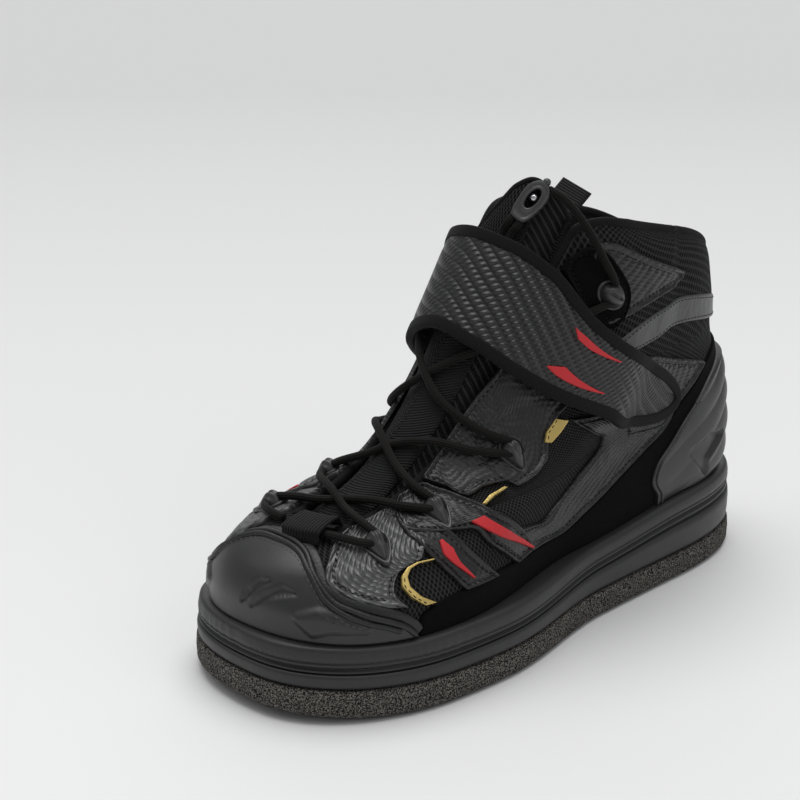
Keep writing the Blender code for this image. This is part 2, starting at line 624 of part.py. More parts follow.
def lace_route(sign):
    # Centre of one half of the lace: from the first bar up to the ankle, round an eyelet on each side
    # in turn.
    route = []
    last_level, last_place = BAR_LEVEL, BAR_PLACE
    for step, (_, level, place, bulge) in enumerate(EYELET_ROWS):
        on_side = place if step % 2 == 0 else 2 - place
        for share in LACE_SHARES:
            at_level = last_level + (level - LACE_TURN_LEVEL - last_level) * share
            at_level = at_level + bulge * math.sin(math.pi * share) ** 2
            at_place = last_place + (on_side - last_place) * share
            route.append(off_last(at_level, at_place * sign, lace_height(at_place)))
        seat, out, heelward, up = eyelet_frame(level, on_side * sign if step % 2 == 0 else -place * sign)
        rise = LACE_HIGH - OVERLAY_SEAT - OVERLAY
        for angle in LACE_TURN_ANGLES:
            turn = heelward * math.cos(math.radians(angle)) + up * math.sin(math.radians(angle))
            route.append(seat + turn * LACE_TURN + out * rise)
        last_level, last_place = level + LACE_TURN_LEVEL, on_side
    return np.array(route)


def tube(route):
    # Closed tube along a route, its sections turned as little as possible from one point to the next.
    sides = LACE_SIDES
    ahead = np.gradient(route, axis=0)
    ahead /= np.linalg.norm(ahead, axis=1)[:, None]
    side = np.cross(ahead[0], (0, 0, 1))
    rings = []
    for point, along in zip(route, ahead):
        side = side - along * np.dot(side, along)
        side = side / np.linalg.norm(side)
        angle = 2 * math.pi * np.arange(sides) / sides
        across = np.outer(np.cos(angle), side) + np.outer(np.sin(angle), np.cross(along, side))
        rings.append(point + LACE_RADIUS * across)
    faces = [tuple(range(sides))]
    for i in range(len(rings) - 1):
        for j in range(sides):
            k = (j + 1) % sides
            faces.append((i * sides + j, i * sides + k, (i + 1) * sides + k, (i + 1) * sides + j))
    faces.append(tuple((len(rings) - 1) * sides + j for j in range(sides)))
    return new_mesh(np.concatenate(rings), faces)


def make_lace():
    lace = finish("lace_crossings", tube(lace_route(1)), LACE_COLOUR, LACE_ROUGHNESS)
    other = finish("lace_other_half", tube(lace_route(-1)), LACE_COLOUR, LACE_ROUGHNESS)
    other.hide_render = True
    other.display_type = "WIRE"
    union = lace.modifiers.new("join", "BOOLEAN")
    union.operation = "UNION"
    union.object = other


def make_vamp_loop():
    level = np.array(VAMP_LOOP_LEVELS)[:, None]
    place = np.linspace(*VAMP_LOOP_PLACES, VAMP_LOOP_COLUMNS)[None, :]
    level, place = np.broadcast_arrays(level, place)
    rise = np.broadcast_to(np.array(VAMP_LOOP_RISE)[:, None], place.shape)
    band = sheet(off_last(level, place, rise + VAMP_LOOP_THICK), off_last(level, place, rise))
    finish("vamp_loop", band, (0.02, 0.02, 0.02), 0.9)


def make_lock():
    seat, out, heelward, up = eyelet_frame(LOCK_LEVEL, LOCK_PLACE)
    seat = seat - out * (OVERLAY_SEAT + OVERLAY - LOCK_RISE)
    angle = 2 * math.pi * np.arange(LOCK_SIDES) / LOCK_SIDES
    side = np.sign(np.cos(angle)) * np.abs(np.cos(angle)) ** LOCK_SQUARE
    along = np.sign(np.sin(angle)) * np.abs(np.sin(angle)) ** LOCK_SQUARE
    wide = LOCK_HALF[0] + LOCK_FLARE * along
    outline = np.outer(side * wide, heelward) + np.outer(along * LOCK_HALF[1], up)
    slot = np.outer(np.cos(angle) * LOCK_SLOT[0], heelward) + np.outer(np.sin(angle) * LOCK_SLOT[1], up)
    front = seat + out * LOCK_THICK
    rings = (seat + outline, front + outline * LOCK_TAPER, front + slot, seat + slot)
    count = LOCK_SIDES
    faces = []
    for i in range(4):
        for j in range(count):
            k = (j + 1) % count
            n = (i + 1) % 4
            faces.append((i * count + j, i * count + k, n * count + k, n * count + j))
    finish("cord_lock", new_mesh(np.concatenate(rings), faces), (0.06, 0.06, 0.06), 0.4)


def cord(name, route):
    # Free length of lace: a bevelled curve through a smooth route.
    share = np.linspace(0, 1, len(route))
    at = np.linspace(0, 1, CORD_POINTS)
    points = np.stack([smooth(share, route[:, i], at) for i in range(3)], -1)
    curve = bpy.data.curves.new(name, "CURVE")
    curve.dimensions = "3D"
    curve.bevel_depth = LACE_RADIUS
    curve.bevel_resolution = 1
    curve.use_fill_caps = True
    line = curve.splines.new("POLY")
    line.points.add(len(points) - 1)
    for target, point in zip(line.points, points):
        target.co = (*point, 1.0)
    piece = bpy.data.objects.new(name, curve)
    bpy.context.scene.collection.objects.link(piece)
    paint(piece, LACE_COLOUR, LACE_ROUGHNESS)


def make_free_lace():
    cord("lace_run", np.array(RUN_POINTS))
    for name, place in zip(("lace_end_lateral", "lace_end_medial"), END_PLACES):
        level = np.linspace(*END_LEVELS, CORD_POINTS)
        cord(name, off_last(level, np.full(level.shape, place), np.full(level.shape, END_RISE)))


for old in list(bpy.data.objects):
    bpy.data.objects.remove(old, do_unlink=True)
make_sole()
make_insole()
make_upper()
make_tongue()
make_pull()
make_overlays()
make_strap()
make_eyelets()
make_lace()
make_vamp_loop()
make_lock()
make_free_lace()
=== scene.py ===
# Wading shoe, left foot: its looks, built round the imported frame.
# Metres. The toe points along +X, the outer side of the foot along +Y, and +Z is up.
import json
import math

import bmesh
import bpy
import numpy as np
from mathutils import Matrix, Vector

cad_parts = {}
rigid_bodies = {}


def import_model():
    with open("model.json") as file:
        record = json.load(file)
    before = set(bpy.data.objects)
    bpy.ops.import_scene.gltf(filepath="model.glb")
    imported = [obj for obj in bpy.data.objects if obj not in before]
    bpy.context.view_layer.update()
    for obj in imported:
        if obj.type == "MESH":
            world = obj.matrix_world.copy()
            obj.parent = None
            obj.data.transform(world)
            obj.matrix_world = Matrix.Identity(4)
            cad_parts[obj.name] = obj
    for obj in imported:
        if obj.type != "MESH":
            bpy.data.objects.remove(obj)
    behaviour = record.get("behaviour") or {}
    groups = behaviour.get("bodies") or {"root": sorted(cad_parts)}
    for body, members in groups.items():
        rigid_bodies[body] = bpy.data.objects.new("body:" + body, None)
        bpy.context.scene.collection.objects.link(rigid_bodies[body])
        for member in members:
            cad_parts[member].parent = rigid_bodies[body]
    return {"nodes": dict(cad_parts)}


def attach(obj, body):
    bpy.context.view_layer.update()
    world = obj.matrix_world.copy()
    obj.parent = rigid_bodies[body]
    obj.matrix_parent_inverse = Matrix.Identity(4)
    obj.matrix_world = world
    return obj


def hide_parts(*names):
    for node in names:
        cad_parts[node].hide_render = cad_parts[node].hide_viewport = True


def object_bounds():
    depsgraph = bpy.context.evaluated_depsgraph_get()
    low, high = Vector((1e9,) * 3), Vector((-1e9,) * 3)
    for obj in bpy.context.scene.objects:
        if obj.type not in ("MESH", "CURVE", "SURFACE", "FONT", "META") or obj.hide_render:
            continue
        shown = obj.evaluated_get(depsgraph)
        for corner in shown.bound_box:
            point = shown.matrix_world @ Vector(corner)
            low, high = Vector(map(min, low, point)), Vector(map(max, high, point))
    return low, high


for old in list(bpy.data.objects):
    bpy.data.objects.remove(old, do_unlink=True)
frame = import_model()
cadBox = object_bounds()
scene = bpy.context.scene
print("frame loaded,", len(frame["nodes"]), "nodes")


# Camera, floor and light
view = {"azimuth": 134.4, "elevation": 18.8, "distance": 0.885, "aim": (0.0301, -0.0307, 0.0964),
        "lens": 90.0, "sensor": 36.0}
# The floor's far colour is painted shade: the floor darkens away from the camera in its colour, in place of
# light falling off.
stage = {"floorHalf": 6.0, "floorSink": 0.0002, "floorColour": (0.83, 0.83, 0.83, 1.0), "floorRough": 0.8,
         "floorGloss": 0.1, "farPaintedShade": (0.63, 0.63, 0.63, 1.0), "farWay": (-0.714, -0.7, 0.0),
         "farFrom": (-0.1, 1.3), "skyColour": (0.97, 0.98, 1.0, 1.0), "skyStrength": 0.3}
lamps = (
    # name, direction that the light comes from, width of the source in degrees, strength
    ("topLamp", (-0.1, -0.1, 1.0), 50.0, 1.8),
    ("backLamp", (-0.62, -0.6, 0.48), 50.0, 0.4),
    ("toeLamp", (0.55, -0.6, 0.95), 40.0, 0.26),
    ("sideLamp", (-0.1, 0.9, 0.8), 40.0, 0.28),
)


def placeCamera():
    azimuth = math.radians(view["azimuth"])
    elevation = math.radians(view["elevation"])
    back = Vector((math.sin(azimuth) * math.cos(elevation), -math.cos(azimuth) * math.cos(elevation),
                   math.sin(elevation)))
    data = bpy.data.cameras.new("camera")
    data.lens = view["lens"]
    data.sensor_width = view["sensor"]
    camera = bpy.data.objects.new("camera", data)
    camera.location = Vector(view["aim"]) + back * view["distance"]
    camera.rotation_euler = (-back).to_track_quat("-Z", "Y").to_euler()
    scene.collection.objects.link(camera)
    scene.camera = camera


def addNode(tree, kind, inputs=(), **settings):
    made = tree.nodes.new(kind)
    for key, value in settings.items():
        setattr(made, key, value)
    for index, value in inputs:
        if isinstance(value, bpy.types.NodeSocket):
            tree.links.new(value, made.inputs[index])
        else:
            made.inputs[index].default_value = value
    return made


def calc(tree, operation, *values):
    return addNode(tree, "ShaderNodeMath", list(enumerate(values)), operation=operation).outputs[0]


def blend(tree, share, low, high):
    # Colour that goes from low to high with a share from 0 to 1.
    return addNode(tree, "ShaderNodeMix", [(0, share), (6, low), (7, high)], data_type="RGBA").outputs[2]


def placeStage():
    half = stage["floorHalf"]
    corners = [(-half, -half, 0), (half, -half, 0), (half, half, 0), (-half, half, 0)]
    mesh = bpy.data.meshes.new("floor")
    mesh.from_pydata(corners, [], [(0, 1, 2, 3)])
    floor = bpy.data.objects.new("floor", mesh)
    floor.location.z = cadBox[0].z - stage["floorSink"]
    paper = bpy.data.materials.new("paleFloor")
    paper.use_nodes = True
    tree = paper.node_tree
    shader = tree.nodes["Principled BSDF"]
    # Painted shade: the floor's colour darkens away from the camera, from floorColour to farPaintedShade, in
    # place of the light that falls off across the floor.
    at = addNode(tree, "ShaderNodeTexCoord").outputs["Object"]
    away = addNode(tree, "ShaderNodeVectorMath", [(0, at), (1, stage["farWay"])], operation="DOT_PRODUCT")
    inputs = zip(("Value", "From Min", "From Max"), (away.outputs["Value"], *stage["farFrom"]))
    share = addNode(tree, "ShaderNodeMapRange", inputs).outputs["Result"]
    colour = blend(tree, share, stage["floorColour"], stage["farPaintedShade"])
    tree.links.new(colour, shader.inputs["Base Color"])
    shader.inputs["Roughness"].default_value = stage["floorRough"]
    shader.inputs["Specular IOR Level"].default_value = stage["floorGloss"]
    mesh.materials.append(paper)
    scene.collection.objects.link(floor)
    world = bpy.data.worlds.new("softSky")
    world.use_nodes = True
    sky = world.node_tree.nodes["Background"]
    sky.inputs["Color"].default_value = stage["skyColour"]
    sky.inputs["Strength"].default_value = stage["skyStrength"]
    scene.world = world
    scene.view_settings.view_transform = "Standard"
    for name, source, wide, power in lamps:
        data = bpy.data.lights.new(name, "SUN")
        data.angle = math.radians(wide)
        data.energy = power
        lamp = bpy.data.objects.new(name, data)
        lamp.location = Vector(source)
        lamp.rotation_euler = (-Vector(source)).to_track_quat("-Z", "Y").to_euler()
        scene.collection.objects.link(lamp)


placeCamera()
placeStage()
print("camera, floor and light are set")


# Curves through tables
def smoothThrough(stations, values, at):
    # Cubic through the rows of a table that never overshoots: each inner slope is the harmonic mean
    # of the slopes beside it.
    u = np.asarray(stations, float)
    v = np.asarray(values, float)
    at = np.asarray(at, float)
    wide = (-1,) + (1,) * (v.ndim - 1)
    rise = np.diff(v, axis=0) / np.diff(u).reshape(wide)
    slope = np.zeros_like(v)
    same = rise[:-1] * rise[1:] > 0
    total = np.where(same, rise[:-1] + rise[1:], 1)
    slope[1:-1] = np.where(same, 2 * rise[:-1] * rise[1:] / total, 0)
    slope[0] = rise[0]
    slope[-1] = rise[-1]
    i = np.clip(np.searchsorted(u, at, side="right") - 1, 0, len(u) - 2)
    span = (u[i + 1] - u[i]).reshape(at.shape + (1,) * (v.ndim - 1))
    t = np.clip((at - u[i]).reshape(span.shape) / span, 0, 1)
    start = v[i] * (2 * t**3 - 3 * t**2 + 1) + slope[i] * span * (t**3 - 2 * t**2 + t)
    end = v[i + 1] * (3 * t**2 - 2 * t**3) + slope[i + 1] * span * (t**3 - t**2)
    return start + end


def ease(share):
    t = np.clip(share, 0, 1)
    return t * t * (3 - 2 * t)


def between(value, low, high):
    return ease((value - low) / (high - low))


def roundEnd(share, power):
    # Superellipse: 1 at share 0 and 0 at share 1.
    return (1 - np.clip(share, 0, 1) ** power) ** (1 / power)


def unit(vectors):
    return vectors / np.linalg.norm(vectors, axis=-1)[..., None]


def runOf(path):
    # Length along a path, from 0 at its first point.
    return np.r_[0, np.cumsum(np.linalg.norm(np.diff(path, axis=0), axis=1))]


def readAt(at, run, rows):
    # Rows of a table, read at lengths along their run.
    return np.stack([np.interp(at, run, column) for column in np.transpose(rows)], -1)


def circle(count):
    return 2 * math.pi * np.arange(count) / count


def bent(value, power):
    # Power of a value's size that keeps its sign.
    return np.sign(value) * np.abs(value) ** power


def square(vectors, way):
    # Unit vectors at right angles to a way, nearest to the given ones.
    return unit(vectors - way * (vectors * way).sum(-1)[..., None])


def hump(value, middle, wide):
    # Bell curve: 1 at its middle.
    return np.exp(-((value - middle) / wide) ** 2)


def quarter(share):
    # Quarter circle: from 0 at share 0 up to 1 at share 1.
    return np.sqrt(1 - (1 - np.clip(share, 0, 1)) ** 2)


def toLine(point, start, end):
    # Share along a straight line of the spot nearest to each point, and the distance to it.
    along = end - start
    share = np.clip(((point - start) @ along) / (along @ along), 0, 1)
    return share, np.linalg.norm(point - start - share[..., None] * along, axis=-1)


def splinePath(points, count, closed=False):
    # Catmull-Rom curve through the points, then spaced evenly along its length.
    p = np.asarray(points, float)
    if closed:
        p = np.concatenate([p[-1:], p, p[:2]])
    else:
        p = np.concatenate([2 * p[:1] - p[1:2], p, 2 * p[-1:] - p[-2:-1]])
    at = np.linspace(0, len(p) - 3, 16 * len(p))
    i = np.minimum(at.astype(int), len(p) - 4)
    t = (at - i)[:, None]
    a, b, c, d = p[i], p[i + 1], p[i + 2], p[i + 3]
    fine = 0.5 * (2 * b + (c - a) * t + (2 * a - 5 * b + 4 * c - d) * t**2 + (3 * b - a - 3 * c + d) * t**3)
    run = runOf(fine)
    even = np.linspace(0, run[-1], count + 1)[:-1] if closed else np.linspace(0, run[-1], count)
    return readAt(even, run, fine)


# The last: the form that the upper is pulled over. Level runs from 0 at the feather line to 1 at the collar.
# Place runs from 1 at the front along the outer side to 0 at the heel, and on to -1, the front again.
last = {
    "columns": ("frontX", "frontZ", "backX", "backZ", "heelOuter", "heelInner", "waistOuter", "waistInner",
                "foreOuter", "foreInner", "nose", "power", "swing"),
    "rings": (
        (0.143, 0.033, -0.14, 0.04, 0.0375, 0.0365, 0.0395, 0.035, 0.0545, 0.053, 0.066, 2.4, -0.006),
        (0.143, 0.043, -0.1425, 0.05, 0.038, 0.037, 0.0395, 0.035, 0.0545, 0.053, 0.068, 2.35, -0.006),
        (0.138, 0.056, -0.144, 0.064, 0.037, 0.0365, 0.0385, 0.0345, 0.051, 0.049, 0.076, 2.2, -0.007),
        (0.124, 0.065, -0.144, 0.077, 0.0355, 0.0355, 0.037, 0.0335, 0.0475, 0.0395, 0.084, 2.1, -0.007),
        (0.1, 0.071, -0.142, 0.089, 0.0345, 0.0345, 0.036, 0.0335, 0.0435, 0.034, 0.09, 2.05, -0.006),
        (0.076, 0.081, -0.139, 0.101, 0.034, 0.034, 0.0355, 0.0335, 0.0405, 0.032, 0.092, 2.0, -0.005),
        (0.053, 0.101, -0.136, 0.115, 0.034, 0.034, 0.036, 0.034, 0.0385, 0.0315, 0.088, 2.0, -0.004),
        (0.03, 0.133, -0.1345, 0.132, 0.0345, 0.0345, 0.037, 0.0345, 0.038, 0.033, 0.08, 2.0, -0.003),
        (-0.002, 0.186, -0.136, 0.15, 0.0355, 0.0355, 0.038, 0.035, 0.038, 0.033, 0.072, 2.0, -0.002),
        (-0.028, 0.233, -0.138, 0.169, 0.036, 0.036, 0.0385, 0.0355, 0.0385, 0.0335, 0.068, 2.0, -0.002),
    ),
    "collarRing": 8, "heelRound": 0.05, "heelPower": 2.2,
    "dip": 0.01, "dipLevel": 0.55, "dipShare": 0.32, "swingStart": 0.4,
    "wall": 0.0025, "collarPad": 0.0045, "padLevels": (0.74, 0.94), "padPlaces": (0.48, 0.63),
}
sole = {
    "length": 0.3,
    "outline": ((0.0, 0.045, 0.043), (0.17, 0.045, 0.043), (0.43, 0.0465, 0.04), (0.68, 0.058, 0.056),
                (1.0, 0.048, 0.071)),    # share of the length, half-width outside and inside
    "heelEnd": 0.25, "toeEnd": 0.22, "heelPower": 2.5, "toePower": 2.32,
    "heights": (    # x, bottom of the felt, top of the felt, groove, top
        (-0.15, 0.001, 0.012, 0.031, 0.0405), (-0.14, 0.0, 0.012, 0.0308, 0.0404),
        (-0.09, 0.0, 0.0121, 0.03, 0.0395), (-0.03, 0.0, 0.0123, 0.0255, 0.035),
        (0.04, 0.0, 0.0125, 0.0215, 0.0315), (0.09, 0.0, 0.0129, 0.0213, 0.0313),
        (0.12, 0.001, 0.0139, 0.022, 0.032), (0.15, 0.004, 0.016, 0.024, 0.034)),
}
# Creases of the vamp and ankle: two ends as place and level, half-width and depth
creases = (
    (0.9, 0.3, 0.78, 0.3, 0.003, 0.0006),
    (0.88, 0.215, 0.79, 0.24, 0.0026, 0.0005),
    (0.86, 0.43, 0.76, 0.39, 0.0032, 0.0007),
    (0.7, 0.64, 0.64, 0.56, 0.004, 0.0007),
    (0.76, 0.6, 0.7, 0.7, 0.0036, 0.0006),
    (0.8, 0.69, 0.69, 0.76, 0.004, 0.0008),
    (0.47, 0.26, 0.38, 0.38, 0.005, 0.0005),
    (0.56, 0.2, 0.47, 0.3, 0.0045, 0.0004),
    (0.43, 0.93, 0.33, 0.9, 0.005, 0.0008),
    (0.3, 0.7, 0.2, 0.69, 0.006, 0.0008),
    (0.12, 0.9, -0.12, 0.9, 0.006, 0.0007),
)
creaseForm = {"ends": (0.02, 0.98), "fade": 0.5, "swell": 0.9}
ringLevels = np.arange(len(last["rings"])) / last["collarRing"]
heightTable = np.array(sole["heights"])
# Rough metres in one unit of place and in one unit of level
chartScale = np.array([0.4, 0.14])


def soleHeights(x):
    half = sole["length"] / 2
    return smoothThrough(heightTable[:, 0], heightTable[:, 1:], np.clip(x, -half, half))


def ringAt(level):
    rows = smoothThrough(ringLevels, last["rings"], level)
    return {name: rows[..., i] for i, name in enumerate(last["columns"])}


feather = ringAt(0.0)


def lastPoint(level, place):
    # Each ring runs from its back to its front, and its half-width eases from heel to waist to forefoot
    # and closes as a superellipse at both ends. The ring tilts from its back height to its front height.
    level, place = np.broadcast_arrays(np.asarray(level, float), np.asarray(place, float))
    place = (place + 1) % 2 - 1
    outer = place >= 0
    share = (1 - np.cos(math.pi * np.abs(place))) / 2
    ring = ringAt(level)
    long = ring["frontX"] - ring["backX"]
    x = ring["backX"] + share * long
    heel = np.where(outer, ring["heelOuter"], ring["heelInner"])
    waist = np.where(outer, ring["waistOuter"], ring["waistInner"])
    fore = np.where(outer, ring["foreOuter"], ring["foreInner"])
    heelEnd = last["heelRound"] / long
    noseEnd = 1 - ring["nose"] / long
    middle = (heelEnd + noseEnd) / 2
    half = heel + (waist - heel) * between(share, heelEnd, middle)
    half = half + (fore - waist) * between(share, middle, noseEnd)
    half = half * roundEnd(1 - share / heelEnd, last["heelPower"])
    half = half * roundEnd((share - noseEnd) / (1 - noseEnd), ring["power"])
    run = np.clip((x - feather["backX"]) / (feather["frontX"] - feather["backX"]), 0, 1)
    flat = feather["backZ"] + (feather["frontZ"] - feather["backZ"]) * run
    z = ring["backZ"] + (ring["frontZ"] - ring["backZ"]) * share
    z = z + (soleHeights(x)[..., 3] - flat) * (1 - np.clip(level, 0, 1)) ** 2
    dip = between(level, last["dipLevel"], 1.0) * (1 - np.clip(share / last["dipShare"], 0, 1)) ** 2
    z = z - last["dip"] * dip
    y = np.where(outer, half, -half) + ring["swing"] * between(share, last["swingStart"], 1.0)
    return np.stack([x, y, z], -1)


def lastFrame(level, place):
    # A point of the last with its outward normal, from small steps up and round.
    step = 0.004
    level = np.asarray(level, float)
    place = np.asarray(place, float)
    low = np.maximum(level - step, 0.0)
    up = lastPoint(level + step, place) - lastPoint(low, place)
    around = lastPoint(level, place + step) - lastPoint(level, place - step)
    normal = np.cross(up, around)
    return lastPoint(level, place), unit(normal)


def creaseDepth(point):
    # Each crease is a valley with a low swelling on both sides, along a straight line, the same on both
    # sides of the shoe.
    depth = np.zeros(point.shape[:-1])
    for placeA, levelA, placeB, levelB, width, deep in creases:
        for side in (1, -1):
            share, away = toLine(point, lastPoint(levelA, side * placeA), lastPoint(levelB, side * placeB))
            away = away / width
            fade = np.sin(math.pi * np.clip(share, *creaseForm["ends"])) ** creaseForm["fade"]
            depth = depth - deep * fade * (1 - creaseForm["swell"] * away**2) * np.exp(-away**2)
    return depth


def onLast(level, place, lift):
    point, normal = lastFrame(level, place)
    return point + normal * (np.asarray(lift) + creaseDepth(point))[..., None]


# Meshes
def gridQuads(rows, columns, wrap=False):
    # Quads of a grid, as indices of its points and of its pattern points. A wrapped grid closes on itself
    # and has one more column of pattern points.
    i, j = np.meshgrid(np.arange(rows - 1), np.arange(columns if wrap else columns - 1), indexing="ij")
    i = i.ravel()
    j = j.ravel()
    k = (j + 1) % columns
    wide = columns + 1 if wrap else columns
    points = np.stack([i * columns + j, (i + 1) * columns + j, (i + 1) * columns + k, i * columns + k], 1)
    marks = np.stack([i * wide + j, (i + 1) * wide + j, (i + 1) * wide + j + 1, i * wide + j + 1], 1)
    return points, marks


def fan(hub, ring):
    # Triangles from a hub to a closed ring of points.
    size = len(ring)
    return np.stack([np.full(size, hub), ring, np.roll(ring, -1), np.full(size, -1)], 1)


def bridge(ring, other):
    # Quads between two closed rings of points.
    return np.stack([ring, other, np.roll(other, -1), np.roll(ring, -1)], 1)


mergeWithin = 1e-6


def putMesh(name, points, faces, marks=None, pattern=None, materials=(), parts=None):
    # Faces are rows of four point indices, with -1 as the last of a triangle. Marks index the pattern
    # points, and parts is the material index of each face.
    faces = np.asarray(faces)
    used = faces >= 0
    mesh = bpy.data.meshes.new(name)
    mesh.vertices.add(len(points))
    mesh.vertices.foreach_set("co", np.asarray(points, np.float32).ravel())
    mesh.loops.add(int(used.sum()))
    mesh.loops.foreach_set("vertex_index", faces[used].astype(np.int32))
    mesh.polygons.add(len(faces))
    mesh.polygons.foreach_set("loop_start", np.r_[0, np.cumsum(used.sum(1))[:-1]].astype(np.int32))
    if parts is not None:
        mesh.polygons.foreach_set("material_index", np.asarray(parts, np.int32))
    if pattern is not None:
        layer = mesh.uv_layers.new(name="UVMap")
        marks = faces if marks is None else np.asarray(marks)
        layer.data.foreach_set("uv", np.asarray(pattern, np.float32)[marks[used]].ravel())
    mesh.update(calc_edges=True)
    mesh.validate()
    work = bmesh.new()
    work.from_mesh(mesh)
    bmesh.ops.remove_doubles(work, verts=work.verts, dist=mergeWithin)
    bmesh.ops.recalc_face_normals(work, faces=work.faces)
    work.to_mesh(mesh)
    work.free()
    mesh.shade_smooth()
    for material in materials:
        mesh.materials.append(material)
    piece = bpy.data.objects.new(name, mesh)
    scene.collection.objects.link(piece)
    return piece


def keep(piece, slot, *nodes):
    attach(piece, "root")
    if nodes:
        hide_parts(*nodes)
    return piece


def keepSheet(name, outer, inner, pattern, material, slot, *nodes):
    # Closed solid between two grids of points.
    rows, columns = outer.shape[:2]
    size = rows * columns
    quads, _ = gridQuads(rows, columns)
    index = np.arange(size).reshape(rows, columns)
    rim = np.concatenate([index[0, :-1], index[:-1, -1], index[-1, :0:-1], index[:0:-1, 0]])
    following = np.roll(rim, -1)
    edge = np.stack([rim, following, following + size, rim + size], 1)
    faces = np.concatenate([quads, quads[:, ::-1] + size, edge])
    points = np.concatenate([outer.reshape(-1, 3), inner.reshape(-1, 3)])
    pattern = np.tile(pattern.reshape(-1, 2), (2, 1))
    return keep(putMesh(name, points, faces, pattern=pattern, materials=[material]), slot, *nodes)


def surfaceRuns(points):
    # Length along the rows and columns of a grid, and the distance to its nearest edge.
    u = np.concatenate([np.zeros((1, points.shape[1])),
                        np.cumsum(np.linalg.norm(np.diff(points, axis=0), axis=-1), 0)])
    v = np.concatenate([np.zeros((points.shape[0], 1)),
                        np.cumsum(np.linalg.norm(np.diff(points, axis=1), axis=-1), 1)], 1)
    edge = np.minimum(np.minimum(u, u[-1:] - u), np.minimum(v, v[:, -1:] - v))
    return u, v, edge


def crowded(count, share=0.8):
    # Parameters from 0 to 1 that stand closer at both ends.
    t = np.linspace(0, 1, count)
    return (1 - share) * t + share * (1 - np.cos(math.pi * t)) / 2


def panelChart(rows, along, across, side, straight=False):
    # Field between two edges. A row is a section: place and level of one edge, place and level of the other.
    table = np.array(rows, float)
    middle = (table[:, :2] + table[:, 2:]) / 2 * chartScale
    run = np.r_[0, np.cumsum(np.linalg.norm(np.diff(middle, axis=0), axis=1) + 1e-4)]
    share = crowded(along, 0.5)
    if straight:
        at = readAt(share, run / run[-1], table)
    else:
        at = smoothThrough(run / run[-1], table, share)
    t = crowded(across)[None, :, None]
    chart = at[:, None, :2] * (1 - t) + at[:, None, 2:] * t
    return side * chart[..., 0], chart[..., 1]


def evenPattern(u, v):
    # Pattern points of a sheet: the mean length along it, and the length across.
    return np.stack([u.mean(1)[:, None] + 0 * v, v], -1)


sheetSink = 0.0003
# A seam runs only where its panel is this many insets wide
seamRoom = 2.2


def makePanel(name, rows, thick, material, slot, nodes=(), side=1, seat=0.0003, rim=0.001, along=90,
              across=30, relief=None, base=None, straight=False):
    # A sewn sheet on the last, or on a base above it, with a rounded edge: its height rises as a quarter
    # circle over the rim.
    place, level = panelChart(rows, along, across, side, straight)
    under = base(place, level) if base is not None else 0.0
    u, v, edge = surfaceRuns(lastPoint(level, place))
    lift = under + seat + thick * quarter(edge / rim)
    if relief is not None:
        lift = lift + relief(place, level, edge)
    outer = onLast(level, place, lift)
    inner = onLast(level, place, np.full(lift.shape, -sheetSink) + under)
    keepSheet(name, outer, inner, evenPattern(u, v), material, slot, *nodes)
    return {"place": place, "level": level, "lift": lift, "v": v}


def panelLine(panel, inset, fromEnd=False):
    # Line on a panel at a distance from one of its long edges: points and normals.
    v = panel["v"][:, -1:] - panel["v"][:, ::-1] if fromEnd else panel["v"]
    fields = [panel[key][:, ::-1] if fromEnd else panel[key] for key in ("place", "level", "lift")]
    wide = panel["v"][:, -1] > seamRoom * inset
    j = np.clip((v < inset).sum(1), 1, v.shape[1] - 1)
    i = np.arange(len(v))
    t = (inset - v[i, j - 1]) / np.maximum(v[i, j] - v[i, j - 1], 1e-9)
    place, level, lift = [(f[i, j - 1] * (1 - t) + f[i, j] * t)[wide] for f in fields]
    return onLast(level, place, lift), lastFrame(level, place)[1]


def carry(name, path, normals, profile, material, closed=False):
    # Sweep: a closed profile, as (sideways, outwards) points, carried along a path that lies on a surface.
    # An open sweep has a hub in the middle of each end.
    ahead = unit(np.roll(path, -1, 0) - np.roll(path, 1, 0) if closed else np.gradient(path, axis=0))
    out = square(normals, ahead)
    sideways = np.cross(ahead, out)
    section = np.asarray(profile, float)
    if section.ndim == 2:
        section = np.broadcast_to(section, (len(path),) + section.shape)
    points = path[:, None] + sideways[:, None] * section[..., :1] + out[:, None] * section[..., 1:]
    rings, count = points.shape[:2]
    points = points.reshape(-1, 3)
    pattern = np.stack(np.meshgrid(runOf(path), np.linspace(0, 1, count + 1), indexing="ij"), -1)
    quads, marks = gridQuads(rings, count, wrap=True)
    first = np.arange(count)
    final = first + (rings - 1) * count
    if closed:
        row = first + (rings - 1) * (count + 1)
        quads = np.concatenate([quads, bridge(final, first)])
        marks = np.concatenate([marks, np.stack([row, row, row + 1, row + 1], 1)])
    else:
        hub = len(points)
        points = np.concatenate([points, points[first].mean(0)[None], points[final].mean(0)[None]])
        quads = np.concatenate([quads, fan(hub, first), fan(hub + 1, final[::-1])])
        marks = np.concatenate([marks, np.zeros((2 * count, 4), int)])
    return putMesh(name, points, quads, marks, pattern.reshape(-1, 2), [material])


def inwardSign(path, normals, ahead):
    # 1 if the sideways direction of a sweep points to the middle of its path, and -1 if it points away.
    return np.sign((np.cross(ahead, normals) * (path.mean(0) - path)).sum(1).mean())


def ovalProfile(half, high, count, base=0.0, power=1.0):
    # Oval section that stands on the surface, squarer as the power falls.
    angle = circle(count)
    rise = base + high * (1 + bent(np.sin(angle), power)) / 2
    return np.stack([half * bent(np.cos(angle), power), rise], -1)


stitch = {"long": 0.0018, "gap": 0.0009, "radius": 0.00024, "sides": 6,
          "shares": (-0.5, -0.4, 0.0, 0.4, 0.5), "sizes": (0.25, 0.9, 1.0, 0.9, 0.25),
          "sinks": (-1.2, -0.2, 0.15, -0.2, -1.2)}
seamLines = {"dark": [], "pale": []}


def sew(points, normals, kind="dark"):
    # Keeps a seam's line. All stitches of a colour are made at the end as one piece.
    if len(points) > 3:
        seamLines[kind].append((points, normals))


